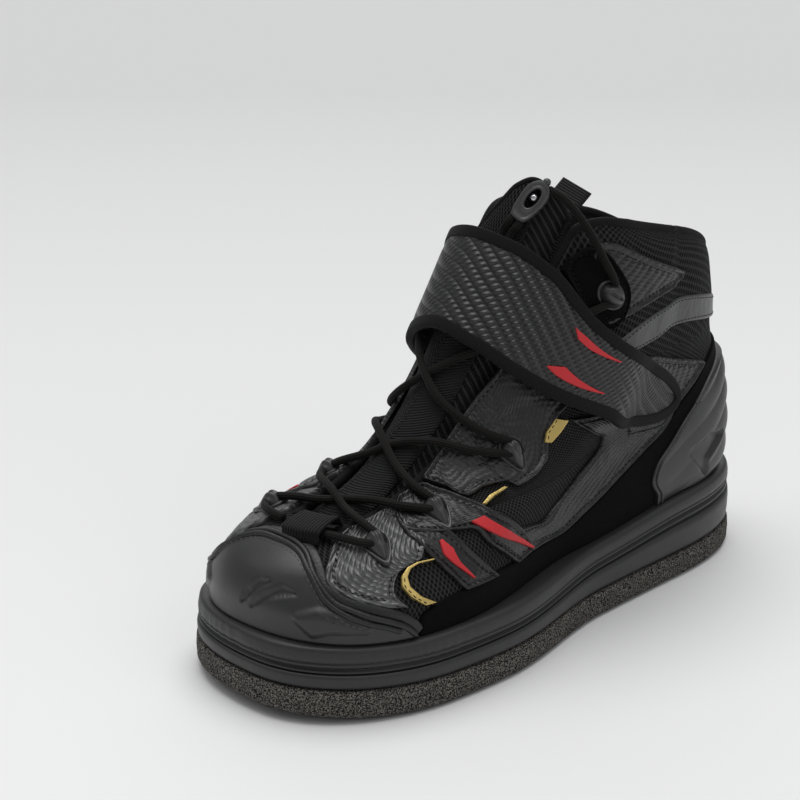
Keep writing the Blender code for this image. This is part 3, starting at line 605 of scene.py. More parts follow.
def sewEdges(panel, inset):
    # Seams along both long edges of a panel.
    sew(*panelLine(panel, inset))
    sew(*panelLine(panel, inset, True))


def makeStitches(name, material, kind):
    # Each stitch is a short spindle along the seam, with both ends sunk into the cloth.
    spots = []
    for points, normals in seamLines[kind]:
        run = runOf(points)
        at = np.arange(stitch["long"], run[-1] - stitch["long"], stitch["long"] + stitch["gap"])
        ways = np.gradient(points, run + 1e-9 * np.arange(len(run)), axis=0)
        spots.append(np.concatenate([readAt(at, run, rows) for rows in (points, ways, normals)], 1))
    spot, ahead, out = np.split(np.concatenate(spots), 3, axis=1)
    ahead = unit(ahead)
    out = square(out, ahead)
    sideways = np.cross(ahead, out)
    sides = stitch["sides"]
    angle = circle(sides)
    along = np.array(stitch["shares"])[:, None] * stitch["long"]
    size = np.array(stitch["sizes"])[:, None] * stitch["radius"]
    sink = np.array(stitch["sinks"])[:, None] * stitch["radius"]
    rings = len(along)
    shape = np.stack(np.broadcast_arrays(along, size * np.cos(angle), size * np.sin(angle) + sink), -1)
    shape = shape.reshape(-1, 3)
    points = spot[:, None] + ahead[:, None] * shape[:, :1] + sideways[:, None] * shape[:, 1:2]
    points = points + out[:, None] * shape[:, 2:]
    quads, _ = gridQuads(rings, sides, wrap=True)
    caps = np.array([[0, 1, 2, 3], [3, 4, 5, 0]])
    faces = np.concatenate([quads, caps, caps[:, ::-1] + (rings - 1) * sides])
    faces = (faces + (np.arange(len(spot)) * len(shape))[:, None, None]).reshape(-1, 4)
    return putMesh(name, points.reshape(-1, 3), faces, materials=[material])


# Materials
def alongAcross(tree):
    # Pattern coordinates in metres.
    split = addNode(tree, "ShaderNodeSeparateXYZ", [(0, addNode(tree, "ShaderNodeUVMap").outputs[0])])
    return split.outputs[0], split.outputs[1]


def waveOf(tree, value, period):
    # Sine from 0 to 1.
    turn = calc(tree, "SINE", calc(tree, "MULTIPLY", value, 2 * math.pi / period))
    return calc(tree, "MULTIPLY_ADD", turn, 0.5, 0.5)


def grain(size, detail=2.0):
    # Noise with spots of a size, on the object itself.
    def make(tree):
        at = addNode(tree, "ShaderNodeTexCoord").outputs["Object"]
        inputs = [("Vector", at), ("Scale", 1 / size), ("Detail", detail)]
        return addNode(tree, "ShaderNodeTexNoise", inputs).outputs[0]
    return make


holeForm = {"lean": 0.577, "gain": 1.6, "soft": 0.2}
barForm = {"high": 0.6, "base": 0.4, "power": 0.7}
braidForm = {"high": 0.5, "base": 0.5, "power": 0.6}


def holes(period):
    # Rows of round holes, each row shifted by half a step: 1 on the threads and 0 in the holes.
    def make(tree):
        u, v = alongAcross(tree)
        leans = (holeForm["lean"], -holeForm["lean"])
        a, b = (waveOf(tree, calc(tree, "MULTIPLY_ADD", v, lean, u), period) for lean in leans)
        both = calc(tree, "MULTIPLY", calc(tree, "MULTIPLY", a, b), holeForm["gain"])
        return calc(tree, "SUBTRACT", 1.0, calc(tree, "SMOOTH_MIN", both, 1.0, holeForm["soft"]))
    return make


def ribs(period):
    # Ribs that follow one another along a tape.
    def make(tree):
        return waveOf(tree, alongAcross(tree)[0], period)
    return make


def bars(band, step, turn, lean=0.6):
    # Bands turned by an angle in degrees, each a row of short leaning bars.
    side = math.sin(math.radians(turn))
    ahead = math.cos(math.radians(turn))

    def make(tree):
        u, v = alongAcross(tree)
        across = calc(tree, "MULTIPLY_ADD", v, ahead, calc(tree, "MULTIPLY", u, -side))
        along = calc(tree, "MULTIPLY_ADD", v, side, calc(tree, "MULTIPLY", u, ahead))
        ridge = waveOf(tree, across, band)
        bar = waveOf(tree, calc(tree, "MULTIPLY_ADD", across, lean, along), step)
        bar = calc(tree, "MULTIPLY_ADD", bar, barForm["high"], barForm["base"])
        return calc(tree, "MULTIPLY", calc(tree, "POWER", ridge, barForm["power"]), bar)
    return make


def braid(period, strands):
    # Strands along a cord, each a row of short stitches.
    def make(tree):
        u, v = alongAcross(tree)
        strand = waveOf(tree, v, 1 / strands)
        knot = waveOf(tree, calc(tree, "MULTIPLY_ADD", v, period * strands, u), period)
        knot = calc(tree, "MULTIPLY_ADD", knot, braidForm["high"], braidForm["base"])
        return calc(tree, "MULTIPLY", calc(tree, "POWER", strand, braidForm["power"]), knot)
    return make


def specks(size, low, high):
    # Noise cut hard between two values.
    def make(tree):
        inputs = [("Value", grain(size, 3.0)(tree)), ("From Min", low), ("From Max", high)]
        return addNode(tree, "ShaderNodeMapRange", inputs).outputs[0]
    return make


sheenRough = 0.5
spreadSize = 0.006
# Blue against red and green in a grey
coolTint = 1.02


def makeMaterial(name, colour, rough, specular, sheen=0.0, metal=0.0, layers=(), toneAndShade=None, deep=None,
                 roughSpread=0.0):
    # Layers are (pattern, depth in metres). ToneAndShade is a pattern that mixes the colour with the deep
    # colour
    # where it is 0: painted shade in the hollows of holes, puffs, bars and braids, and the own speckled tone
    # of suede and felt.
    material = bpy.data.materials.new(name)
    material.use_nodes = True
    tree = material.node_tree
    shader = tree.nodes["Principled BSDF"]
    values = {"Base Color": (*colour, 1.0), "Roughness": rough, "Specular IOR Level": specular,
              "Sheen Weight": sheen, "Sheen Roughness": sheenRough, "Metallic": metal}
    for key, value in values.items():
        shader.inputs[key].default_value = value
    if toneAndShade is not None:
        mixed = blend(tree, toneAndShade(tree), (*deep, 1.0), (*colour, 1.0))
        tree.links.new(mixed, shader.inputs["Base Color"])
    if roughSpread:
        spread = calc(tree, "MULTIPLY_ADD", grain(spreadSize)(tree), roughSpread, rough - roughSpread / 2)
        tree.links.new(spread, shader.inputs["Roughness"])
    normal = None
    for pattern, depth in layers:
        bump = addNode(tree, "ShaderNodeBump", [("Height", pattern(tree)), ("Distance", depth)])
        if normal is not None:
            tree.links.new(normal, bump.inputs["Normal"])
        normal = bump.outputs[0]
    if normal is not None:
        tree.links.new(normal, shader.inputs["Normal"])
    return material


def grey(value):
    return (value, value, value * coolTint)


weave = bars(0.0026, 0.0024, 15, 0.5)
puffs = bars(0.0025, 0.004, 15, 0.6)
strapWeave = bars(0.005, 0.0021, 36, 0.12)
# Painted shade: the deep colour darkens the holes of the mesh cloths, where shade falls inside them.
meshCloth = makeMaterial("meshCloth", grey(0.032), 0.75, 0.15, layers=[(holes(0.0022), 0.0012)],
                         toneAndShade=holes(0.0022), deep=grey(0.0018))
collarCloth = makeMaterial("collarCloth", grey(0.03), 0.75, 0.15, layers=[(holes(0.0034), 0.0018)],
                           toneAndShade=holes(0.0034), deep=grey(0.0025))
suede = makeMaterial("suede", grey(0.0044), 0.95, 0.06, sheen=0.02, layers=[(grain(0.0005, 3.0), 0.0002)],
                     toneAndShade=grain(0.004), deep=grey(0.003))
# Painted shade: the deep colour darkens the hollows between the raised puffs of the vamp.
vampSkin = makeMaterial("vampSkin", grey(0.082), 0.38, 0.8,
                        layers=[(puffs, 0.0006), (grain(0.0014), 0.00012)], toneAndShade=puffs, deep=grey(0.04))
leather = makeMaterial("leather", grey(0.0085), 0.38, 0.5,
                       layers=[(weave, 0.00016), (grain(0.009), 0.001), (grain(0.0013), 0.00016)])
smoothSkin = makeMaterial("smoothSkin", grey(0.011), 0.38, 0.45,
                          layers=[(bars(0.0046, 0.0019, 30), 0.0003), (grain(0.008), 0.0009)])
paleSkin = makeMaterial("paleSkin", grey(0.05), 0.4, 0.5,
                        layers=[(grain(0.0011), 0.00012), (grain(0.005), 0.0005)])
pipeSkin = makeMaterial("pipeSkin", grey(0.011), 0.42, 0.45, layers=[(grain(0.0012), 0.0002)])
rubber = makeMaterial("rubber", grey(0.022), 0.4, 0.5, layers=[(grain(0.001), 0.00005)], roughSpread=0.12)
# Painted highlight and shade: the strap's raised bars keep the lighter colour and the grooves between them
# take the deep colour.
strapCloth = makeMaterial("strapCloth", grey(0.016), 0.38, 0.5, layers=[(strapWeave, 0.0009)],
                          toneAndShade=strapWeave, deep=grey(0.005))
tape = makeMaterial("tape", grey(0.0065), 0.75, 0.12, sheen=0.03, layers=[(ribs(0.0009), 0.00015)])
webbing = makeMaterial("webbing", grey(0.012), 0.7, 0.12, sheen=0.03, layers=[(ribs(0.0014), 0.0005)])
# Painted shade: the deep colour darkens the lace between the strands of its braid.
laceCloth = makeMaterial("laceCloth", (0.0125, 0.0115, 0.0105), 0.75, 0.12, sheen=0.03,
                         layers=[(braid(0.0016, 10), 0.00022)], toneAndShade=braid(0.0016, 10),
                         deep=(0.005, 0.0045, 0.004))
plastic = makeMaterial("plastic", grey(0.05), 0.32, 0.5, layers=[(grain(0.0012), 0.00002)])
metal = makeMaterial("metal", grey(0.55), 0.25, 0.5, metal=1.0)
pebbleSkin = makeMaterial("pebbleSkin", grey(0.034), 0.34, 0.5, layers=[(grain(0.0015), 0.00005)])
midsoleSkin = makeMaterial("midsoleSkin", grey(0.022), 0.46, 0.45, layers=[(grain(0.001), 0.00006)],
                           roughSpread=0.12)
feltCloth = makeMaterial("feltCloth", (0.215, 0.202, 0.184), 0.95, 0.08,
                         layers=[(grain(0.0009, 4.0), 0.001)], toneAndShade=specks(0.0006, 0.44, 0.62),
                         deep=(0.012, 0.011, 0.01))
goldFoil = makeMaterial("goldFoil", (0.62, 0.46, 0.15), 0.36, 0.5, metal=0.6,
                        layers=[(grain(0.0012), 0.0002)])
redCloth = makeMaterial("redCloth", (0.55, 0.028, 0.034), 0.5, 0.3, layers=[(grain(0.001), 0.00006)])
lining = makeMaterial("lining", grey(0.012), 0.9, 0.08, sheen=0.04, layers=[(grain(0.001), 0.0002)])
thread = makeMaterial("thread", grey(0.01), 0.7, 0.15)
paleThread = makeMaterial("paleThread", grey(0.1), 0.7, 0.15)
print("materials are made")


# Upper: the mesh wall with its padded collar and bound edges
throat = ((0.44, 1.0), (0.455, 0.915), (0.5, 0.888), (0.56, 0.866), (0.65, 0.842), (0.75, 0.806),
          (0.85, 0.776), (0.94, 0.762), (0.975, 0.75), (0.99, 0.725), (1.0, 0.66))
throatTable = np.array(throat)
wallGrid = {"levels": ((0, 0.42, 36), (0.43, 0.475, 18), (0.482, 1.0, 80)), "columns": 281, "crowd": 0.3}
collar = {"from": 0.84, "turn": 0.0058, "fade": (0.5, 0.66), "puff": 0.001, "puffLevel": 0.86,
          "puffWide": 0.06, "clothFrom": 0.74, "turnShare": 0.98}
binding = {"levels": (0.452, 0.47, 0.5, 0.56, 0.65, 0.75, 0.85, 0.92, 0.96, 0.985, 0.997), "place": 0.62,
           "topPoints": 40, "points": 520, "sides": 16, "half": 0.002, "over": 0.0006, "powers": (0.8, 0.7)}


def throatEdge(level):
    edge = smoothThrough(throatTable[:, 0], throatTable[:, 1], level)
    return np.where(np.asarray(level) <= throat[0][0], 1.0, edge)


def wallAt(level, place):
    pad = between(level, *last["padLevels"]) * (1 - between(np.abs(place), *last["padPlaces"]))
    return last["wall"] + last["collarPad"] * pad


def collarRound(level, place):
    # The padded collar's outer face turns in towards the top, as a quarter circle.
    share = np.clip((level - collar["from"]) / (1 - collar["from"]), 0, 1)
    fade = 1 - between(np.abs(place), *collar["fade"])
    puff = hump(level, collar["puffLevel"], collar["puffWide"])
    turn = 1 - np.sqrt(1 - share ** 2 * collar["turnShare"])
    return fade * (collar["puff"] * puff - collar["turn"] * turn)


def makeUpper():
    level = np.concatenate([np.linspace(*part) for part in wallGrid["levels"]])
    edge = throatEdge(level)
    column = np.linspace(-1, 1, wallGrid["columns"])
    column = column + wallGrid["crowd"] * np.sin(2 * math.pi * column) / (2 * math.pi)
    place = edge[:, None] * column
    level = np.broadcast_to(level[:, None], place.shape)
    outer = onLast(level, place, collarRound(level, place))
    inner = onLast(level, place, -wallAt(level, place))
    rows, columns = place.shape
    size = rows * columns
    quads, _ = gridQuads(rows, columns)
    index = np.arange(size).reshape(rows, columns)
    apart = edge[1:] < 1.0
    sides = [(line[:-1], line[1:]) for line in index[[0, -1]]]
    sides += [(line[:-1][apart], line[1:][apart]) for line in index.T[[0, -1]]]
    edges = [np.stack([a, b, b + size, a + size], 1) for a, b in sides]
    faces = np.concatenate([quads, quads[:, ::-1] + size, *edges])
    parts = np.zeros(len(faces), int)
    parts[:len(quads)] = np.where(level.ravel()[quads[:, 0]] > collar["clothFrom"], 2, 0)
    parts[len(quads):2 * len(quads)] = 1
    u, v, _ = surfaceRuns(outer)
    pattern = np.stack([v - v[:, columns // 2][:, None], u], -1).reshape(-1, 2)
    points = np.concatenate([outer.reshape(-1, 3), inner.reshape(-1, 3)])
    piece = putMesh("upperWall", points, faces, pattern=np.tile(pattern, (2, 1)),
                    materials=[meshCloth, lining, collarCloth], parts=parts)
    keep(piece, "mesh", "upper")


def makeCollarBinding():
    # The bound edge follows the throat's edges and the collar, and wraps the wall: an oval section, as
    # thick as the wall with its tape.
    level = np.array(binding["levels"])
    up = np.stack([throatEdge(level), level], 1)
    around = np.linspace(binding["place"], -binding["place"], binding["topPoints"])
    top = np.stack([around, np.ones_like(around)], 1)
    place, level = splinePath(np.concatenate([up, top, (up * (-1, 1))[::-1]]), binding["points"]).T
    fold = collarRound(level, place)
    wall = wallAt(level, place) + fold
    point, normal = lastFrame(level, place)
    path = point + normal * (creaseDepth(point) + fold - wall / 2)[:, None]
    angle = circle(binding["sides"])
    side = binding["half"] * bent(np.cos(angle), binding["powers"][0])
    rise = (wall / 2 + binding["over"])[:, None] * bent(np.sin(angle), binding["powers"][1])
    profile = np.stack(np.broadcast_arrays(side, rise), -1)
    keep(carry("collarBinding", path, normal, profile, tape), "mesh")


# Tongue: a padded sheet, a wide ribbed webbing down its middle, a bound edge and a pull
tongue = {
    "rows": ((0.725, 0.86, 0.955), (0.745, 0.75, 0.98), (0.775, 0.62, 1.0), (0.83, 0.5, 1.018),
             (0.9, 0.43, 1.027), (0.96, 0.42, 1.018), (1.0, 0.42, 1.002), (1.06, 0.42, 0.985),
             (1.12, 0.44, 0.972), (1.17, 0.5, 0.965), (1.225, 0.62, 0.96), (1.255, 0.75, 0.95),
             (1.275, 0.86, 0.93)),
    "along": 150, "across": 110, "seat": 0.001, "thick": 0.004, "sink": 0.0018, "sinkWide": 0.0022,
    "crown": 0.0024, "crownEdge": 0.02, "crownFade": 0.06, "crownLevels": (0.48, 0.54),
    "ends": 8, "tape": (0.0016, 0.0046, 14, -0.0023, 0.8),
}
web = {"rows": ((0.905, 0.47, 1.045, 0.47), (0.902, 0.56, 1.045, 0.55), (0.895, 0.65, 1.045, 0.65),
                (0.88, 0.76, 1.02, 0.74), (0.872, 0.85, 1.01, 0.84), (0.868, 0.93, 1.0, 0.92),
                (0.866, 0.985, 0.995, 0.965)), "thick": 0.0011, "rim": 0.0006, "seam": 0.0018,
       "along": 110, "across": 26}
pull = {"place": 0.79, "levels": (0.955, 1.004), "rise": -0.0082, "ahead": (-0.86, -0.05, 0.5),
        "across": (0.02, 0.96, -0.28), "long": 0.0165, "half": 0.0084, "thick": 0.0026, "tipFrom": 0.3,
        "points": 4, "rows": 60, "columns": 24, "thin": 0.75, "thinWide": 0.0012}


def tongueFace(place, level):
    inside = 1 - throatEdge(level) - np.abs(place - 1)
    crown = between(inside, tongue["crownEdge"], tongue["crownEdge"] + tongue["crownFade"])
    return -last["wall"] - tongue["seat"] + tongue["crown"] * crown * between(level, *tongue["crownLevels"])


def makeTongue():
    table = np.array(tongue["rows"])
    place = crowded(tongue["along"], 0.5) * (table[-1, 0] - table[0, 0]) + table[0, 0]
    edges = smoothThrough(table[:, 0], table[:, 1:], place)
    t = crowded(tongue["across"], 0.6)
    level = edges[:, :1] * (1 - t) + edges[:, 1:] * t
    place = np.broadcast_to(place[:, None], level.shape)
    u, v, edge = surfaceRuns(lastPoint(level, place))
    sink = tongue["sink"] * (1 - quarter(edge / tongue["sinkWide"]))
    face = tongueFace(place, level)
    outer = onLast(level, place, face - sink)
    inner = onLast(level, place, face - tongue["thick"] + sink)
    keepSheet("tonguePad", outer, inner, evenPattern(u, v), meshCloth, "mesh", "tongue")
    middle = slice(tongue["ends"], -tongue["ends"])
    _, normal = lastFrame(level[middle, -1], place[middle, -1])
    path = outer[middle, -1] - normal * (tongue["thick"] / 2 - tongue["sink"])
    keep(carry("tongueEdge", path, normal, ovalProfile(*tongue["tape"]), tape), "mesh")
    made = makePanel("tongueWeb", web["rows"], web["thick"], webbing, "webbing", base=tongueFace,
                     rim=web["rim"], along=web["along"], across=web["across"])
    sewEdges(made, web["seam"])


def makePull():
    # Folded webbing: up the back of the tongue, then out to the heel.
    count = pull["points"]
    level = np.linspace(*pull["levels"], count)
    foot = onLast(level, np.full(count, pull["place"]), np.full(count, pull["rise"]))
    ahead, across = (unit(np.array(pull[key])) for key in ("ahead", "across"))
    tip = foot[-1] + ahead * np.linspace(pull["tipFrom"], 1, count)[:, None] * pull["long"]
    path = splinePath(np.concatenate([foot, tip]), pull["rows"])
    side = np.linspace(-1, 1, pull["columns"]) * pull["half"]
    middle = path[:, None] + across * side[None, :, None]
    out = unit(np.cross(across, unit(np.gradient(path, axis=0))))[:, None]
    u, v, edge = surfaceRuns(middle)
    thin = 1 - pull["thin"] * (1 - np.clip(edge / pull["thinWide"], 0, 1)) ** 2
    half = (pull["thick"] / 2 * thin)[..., None]
    pattern = np.stack([u, v], -1)
    keepSheet("tonguePull", middle + out * half, middle - out * half, pattern, webbing, "webbing",
              "tongue_pull")


# Overlays. A row is a section: place and level of one edge, place and level of the other edge
sides = ((1, "lateral"), (-1, "medial"))
toeCap = {
    "high": ((0.745, 0.012), (0.765, 0.085), (0.786, 0.122), (0.818, 0.152), (0.857, 0.188), (0.879, 0.23),
             (0.893, 0.286), (0.917, 0.34), (0.945, 0.372), (0.975, 0.386), (1.0, 0.388)),
    "foot": -0.012, "thick": 0.002, "rim": 0.0016, "along": 280, "across": 76, "seam": 0.0062,
    "pipes": (0.0011, 0.0036), "pipe": (0.0013, 0.003, 14, -0.0016), "coarse": slice(2, -2, 14), "fine": 400,
    "welt": (0.0023, 0.0028, 18, -0.0018, 0.7), "weltRise": 0.0005, "weltOut": 0.8,
    # Depth, below zero for a raised plate, width of the wall, sum of a place and its mirror place, corners
    "marks": (
        (0.0013, 0.0007, 2.16, ((1.004, 0.13), (1.0, 0.174), (0.982, 0.22), (0.962, 0.226),
                                (0.986, 0.189), (1.001, 0.138))),
        (0.0014, 0.0007, 2.16, ((0.992, 0.125), (0.973, 0.176), (0.94, 0.216), (0.917, 0.202),
                                (0.957, 0.179), (0.984, 0.141))),
        (-0.0015, 0.0026, 2.02, ((0.917, 0.128), (0.885, 0.152), (0.82, 0.087), (0.868, 0.09),
                                 (0.895, 0.066))),
    ),
}
counter = {
    "rows": ((0.338, -0.005), (0.342, 0.065), (0.357, 0.164), (0.352, 0.208), (0.327, 0.272), (0.291, 0.38),
             (0.242, 0.51), (0.19, 0.565), (0.12, 0.592), (0.04, 0.602)),
    "thick": 0.0021, "rim": 0.0014, "along": 90, "across": 230, "ridges": 5, "ridge": 0.0023, "ridgeTop": 0.6,
    "sweep": 1.6, "sweepFrom": 0.08, "sweepPower": 1.3, "least": 0.12, "fade": (0.12, 0.27),
    "edgeFade": (0.0005, 0.005), "pipes": (0.0006, 0.003), "pipe": (0.0008, 0.0018, 12, -0.0004),
    "pipeSink": 0.0006, "pipePart": slice(1, 60), "ridgeLean": 0.75, "ridgePower": 0.8,
    "mark": (0.0014, 0.0022, ((0.28, 0.196), (0.226, 0.226), (0.19, 0.205), (0.238, 0.15), (0.234, 0.06))),
}
panels = {
    "rand": {"thick": 0.0011, "rows": (
        (0.748, 0.0, 0.742, 0.105), (0.715, 0.0, 0.723, 0.135), (0.67, 0.0, 0.677, 0.155),
        (0.61, 0.0, 0.629, 0.163), (0.545, 0.0, 0.557, 0.148), (0.48, 0.0, 0.505, 0.138),
        (0.42, 0.0, 0.463, 0.18), (0.37, 0.002, 0.41, 0.256), (0.345, 0.03, 0.388, 0.29),
        (0.345, 0.12, 0.372, 0.312), (0.352, 0.208, 0.345, 0.355), (0.327, 0.272, 0.325, 0.415),
        (0.291, 0.38, 0.311, 0.472), (0.262, 0.46, 0.269, 0.555), (0.238, 0.51, 0.242, 0.609),
        (0.18, 0.565, 0.18, 0.645), (0.09, 0.59, 0.09, 0.662), (0.0, 0.595, 0.0, 0.665))},
    "vamp": {"thick": 0.0012, "rows": (
        (0.757, 0.147, 0.766, 0.165), (0.79, 0.16, 0.775, 0.205), (0.82, 0.178, 0.768, 0.262),
        (0.85, 0.208, 0.738, 0.3), (0.872, 0.245, 0.74, 0.345), (0.879, 0.316, 0.775, 0.42),
        (0.888, 0.383, 0.825, 0.5), (0.893, 0.44, 0.868, 0.53))},
    "quarter": {"thick": 0.001, "rows": (
        (0.58, 0.15, 0.597, 0.285), (0.545, 0.148, 0.572, 0.262), (0.505, 0.138, 0.546, 0.24),
        (0.463, 0.18, 0.515, 0.295), (0.41, 0.256, 0.49, 0.38), (0.372, 0.312, 0.477, 0.461),
        (0.338, 0.365, 0.492, 0.53), (0.325, 0.43, 0.525, 0.58), (0.34, 0.52, 0.56, 0.632),
        (0.38, 0.6, 0.6, 0.685))},
    "heelQuarter": {"thick": 0.0009, "rows": (
        (0.42, 0.42, 0.47, 0.775), (0.345, 0.375, 0.42, 0.755), (0.311, 0.475, 0.36, 0.712),
        (0.275, 0.548, 0.3, 0.667), (0.245, 0.605, 0.252, 0.625))},
    "eyestay": {"thick": 0.0012, "rows": (
        (0.835, 0.61, 0.848, 0.625), (0.779, 0.574, 0.848, 0.66), (0.72, 0.515, 0.846, 0.7),
        (0.7, 0.537, 0.842, 0.735), (0.668, 0.533, 0.835, 0.765), (0.637, 0.492, 0.825, 0.79),
        (0.615, 0.515, 0.812, 0.81), (0.609, 0.563, 0.8, 0.83), (0.622, 0.628, 0.79, 0.85),
        (0.627, 0.69, 0.775, 0.865), (0.6, 0.74, 0.74, 0.865))},
    "frontLeg": {"thick": 0.0014, "rows": (
        (0.8, 0.44, 0.77, 0.46), (0.753, 0.354, 0.715, 0.385), (0.717, 0.267, 0.672, 0.285),
        (0.696, 0.206, 0.645, 0.205), (0.676, 0.148, 0.622, 0.145))},
    "strip": {"thick": 0.0017, "rows": (
        (0.862, 0.565, 0.853, 0.592), (0.846, 0.52, 0.83, 0.6), (0.815, 0.463, 0.798, 0.58),
        (0.782, 0.415, 0.756, 0.546), (0.725, 0.378, 0.69, 0.466), (0.682, 0.362, 0.665, 0.425),
        (0.638, 0.258, 0.601, 0.303), (0.592, 0.15, 0.557, 0.16))},
    "ankleGrey": {"thick": 0.001, "rows": (
        (0.62, 0.88, 0.69, 0.973), (0.588, 0.871, 0.641, 0.976), (0.551, 0.877, 0.585, 0.969),
        (0.5, 0.89, 0.532, 0.96), (0.457, 0.9, 0.47, 0.95), (0.41, 0.912, 0.42, 0.941),
        (0.382, 0.92, 0.386, 0.934))},
    "ankleSuede": {"thick": 0.0017, "rows": (
        (0.742, 0.945, 0.735, 0.957), (0.7, 0.925, 0.688, 0.969), (0.67, 0.908, 0.652, 0.966),
        (0.64, 0.893, 0.615, 0.953), (0.61, 0.878, 0.588, 0.94), (0.585, 0.868, 0.565, 0.925),
        (0.57, 0.865, 0.552, 0.9), (0.562, 0.866, 0.553, 0.878))},
}
heelStrip = {"thick": 0.0014, "seam": 0.0018, "along": 220, "rows": (
    (0.535, 0.815, 0.545, 0.838), (0.49, 0.8, 0.49, 0.862), (0.44, 0.803, 0.43, 0.876),
    (0.39, 0.815, 0.382, 0.883), (0.35, 0.812, 0.324, 0.879), (0.25, 0.793, 0.258, 0.873),
    (0.15, 0.775, 0.15, 0.862), (0.0, 0.765, 0.0, 0.855))}
trims = {
    "goldUp": ("eyestay", goldFoil, (
        (0.633, 0.702, 0.603, 0.684), (0.64, 0.672, 0.61, 0.655), (0.634, 0.64, 0.62, 0.63))),
    "goldThin": ("strip", goldFoil, (
        (0.667, 0.509, 0.659, 0.5), (0.683, 0.487, 0.672, 0.478), (0.684, 0.452, 0.677, 0.448))),
    "goldBend": ("vamp", goldFoil, (
        (0.722, 0.285, 0.722, 0.28), (0.745, 0.285, 0.743, 0.279), (0.758, 0.273, 0.753, 0.266),
        (0.765, 0.245, 0.757, 0.24), (0.765, 0.213, 0.754, 0.207), (0.754, 0.178, 0.741, 0.174),
        (0.736, 0.145, 0.721, 0.145))),
    "redRear": ("strip", redCloth, (
        (0.685, 0.388, 0.669, 0.397), (0.625, 0.279, 0.617, 0.297), (0.565, 0.17, 0.5635, 0.174))),
    "redFront": ("frontLeg", redCloth, (
        (0.722, 0.345, 0.719, 0.348), (0.71, 0.29, 0.698, 0.302), (0.69, 0.235, 0.684, 0.24),
        (0.666, 0.178, 0.6645, 0.18))),
}
panelGrid = {"along": 96, "across": 32}
trimGrid = {"along": 60, "across": 10, "straight": True}
trimForm = {"thick": 0.0004, "rim": 0.0004, "seat": 0.0008, "seam": 0.0011}
rolled = {"high": 0.0007, "at": 0.0013, "wide": 0.0008, "furrow": 0.0005, "furrowAt": 0.0034,
          "furrowWide": 0.001, "secondSeam": 0.0042}
# Material, slot and node of each panel, whether it has a rolled rim, and whether a second seam
looks = {"rand": (suede, "suede", "rand", False, False),
         "vamp": (vampSkin, "leather", "vamp_panel", True, True),
         "quarter": (leather, "leather", "quarter", True, False),
         "heelQuarter": (smoothSkin, "leather", None, True, False),
         "eyestay": (leather, "leather", "eyestay", True, False),
         "frontLeg": (leather, "leather", None, True, False),
         "strip": (leather, "leather", None, True, True),
         "ankleGrey": (smoothSkin, "leather", "ankle_patch", True, True),
         "ankleSuede": (suede, "leather", None, True, True)}


def insideMark(place, level, corners):
    # Even-odd test in place and level, and distance on the last to the mark's outline.
    corners = np.array(corners)
    following = np.roll(corners, -1, 0)
    inside = np.zeros(place.shape, bool)
    point = lastPoint(level, place)
    away = np.full(place.shape, 1.0)
    for (placeA, levelA), (placeB, levelB) in zip(corners, following):
        crosses = (levelA > level) != (levelB > level)
        at = placeA + (level - levelA) / (levelB - levelA + 1e-12) * (placeB - placeA)
        inside ^= crosses & (place < at)
        _, near = toLine(point, lastPoint(levelA, placeA), lastPoint(levelB, placeB))
        away = np.minimum(away, near)
    return np.where(inside, away, -away)


def insideShare(place, level, corners, wall):
    # 1 inside a mark and 0 beyond the wall round it.
    return np.clip((insideMark(place, level, corners) + wall) / wall, 0, 1)


def toeRelief(place, level, edge):
    # Two crescent recesses at the toe, and on each side a raised plate with a sloping upper edge.
    relief = np.zeros(place.shape)
    for deep, wall, mirror, corners in toeCap["marks"]:
        spots = np.array(corners)
        for outline in (spots, spots * (-1, 1) + (mirror, 0)):
            relief = relief - deep * insideShare(place, level, outline, wall)
    return relief


def counterRelief(place, level, edge):
    # Plates that sweep forwards and down from the back of the heel, each with a steep upper edge.
    sweep = counter["sweep"] * np.maximum(np.abs(place) - counter["sweepFrom"], 0) ** counter["sweepPower"]
    share = ((level + sweep) / counter["ridgeTop"] * counter["ridges"]) % 1
    wave = np.sin(math.pi * share ** counter["ridgeLean"]) ** counter["ridgePower"]
    fade = 1 - between(np.abs(place), *counter["fade"])
    fade = counter["least"] + (1 - counter["least"]) * fade
    relief = counter["ridge"] * wave * fade * between(edge, *counter["edgeFade"])
    deep, wall, corners = counter["mark"]
    share = insideShare(np.abs(place), level, corners, wall)
    return relief * (1 - share) - deep * share


def makeToeCap():
    high = toeCap["high"] + tuple((2 - p, h) for p, h in reversed(toeCap["high"][:-1]))
    rows = tuple((p, toeCap["foot"], p, h) for p, h in high)
    cap = makePanel("toeCap", rows, toeCap["thick"], rubber, "moulded", ("toe_cap",), rim=toeCap["rim"],
                    along=toeCap["along"], across=toeCap["across"], relief=toeRelief)
    coarse = toeCap["coarse"]
    fine = toeCap["fine"]
    for i, inset in enumerate(toeCap["pipes"]):
        points, normals = (splinePath(line[coarse], fine) for line in panelLine(cap, inset, True))
        piece = carry("toePiping%d" % (i + 1), points, normals, ovalProfile(*toeCap["pipe"]), pipeSkin)
        keep(piece, "moulded")
    level = cap["level"][coarse, -1]
    place = cap["place"][coarse, -1]
    points = splinePath(onLast(level, place, np.full(level.shape, toeCap["weltRise"])), fine)
    normals = splinePath(lastFrame(level, place)[1], fine)
    profile = ovalProfile(*toeCap["welt"])
    outward = -inwardSign(points, normals, np.gradient(points, axis=0))
    profile[:, 0] += outward * toeCap["welt"][0] * toeCap["weltOut"]
    keep(carry("toeWelt", points, normals, profile, pipeSkin), "moulded")
    sew(*panelLine(cap, toeCap["seam"], True), "pale")


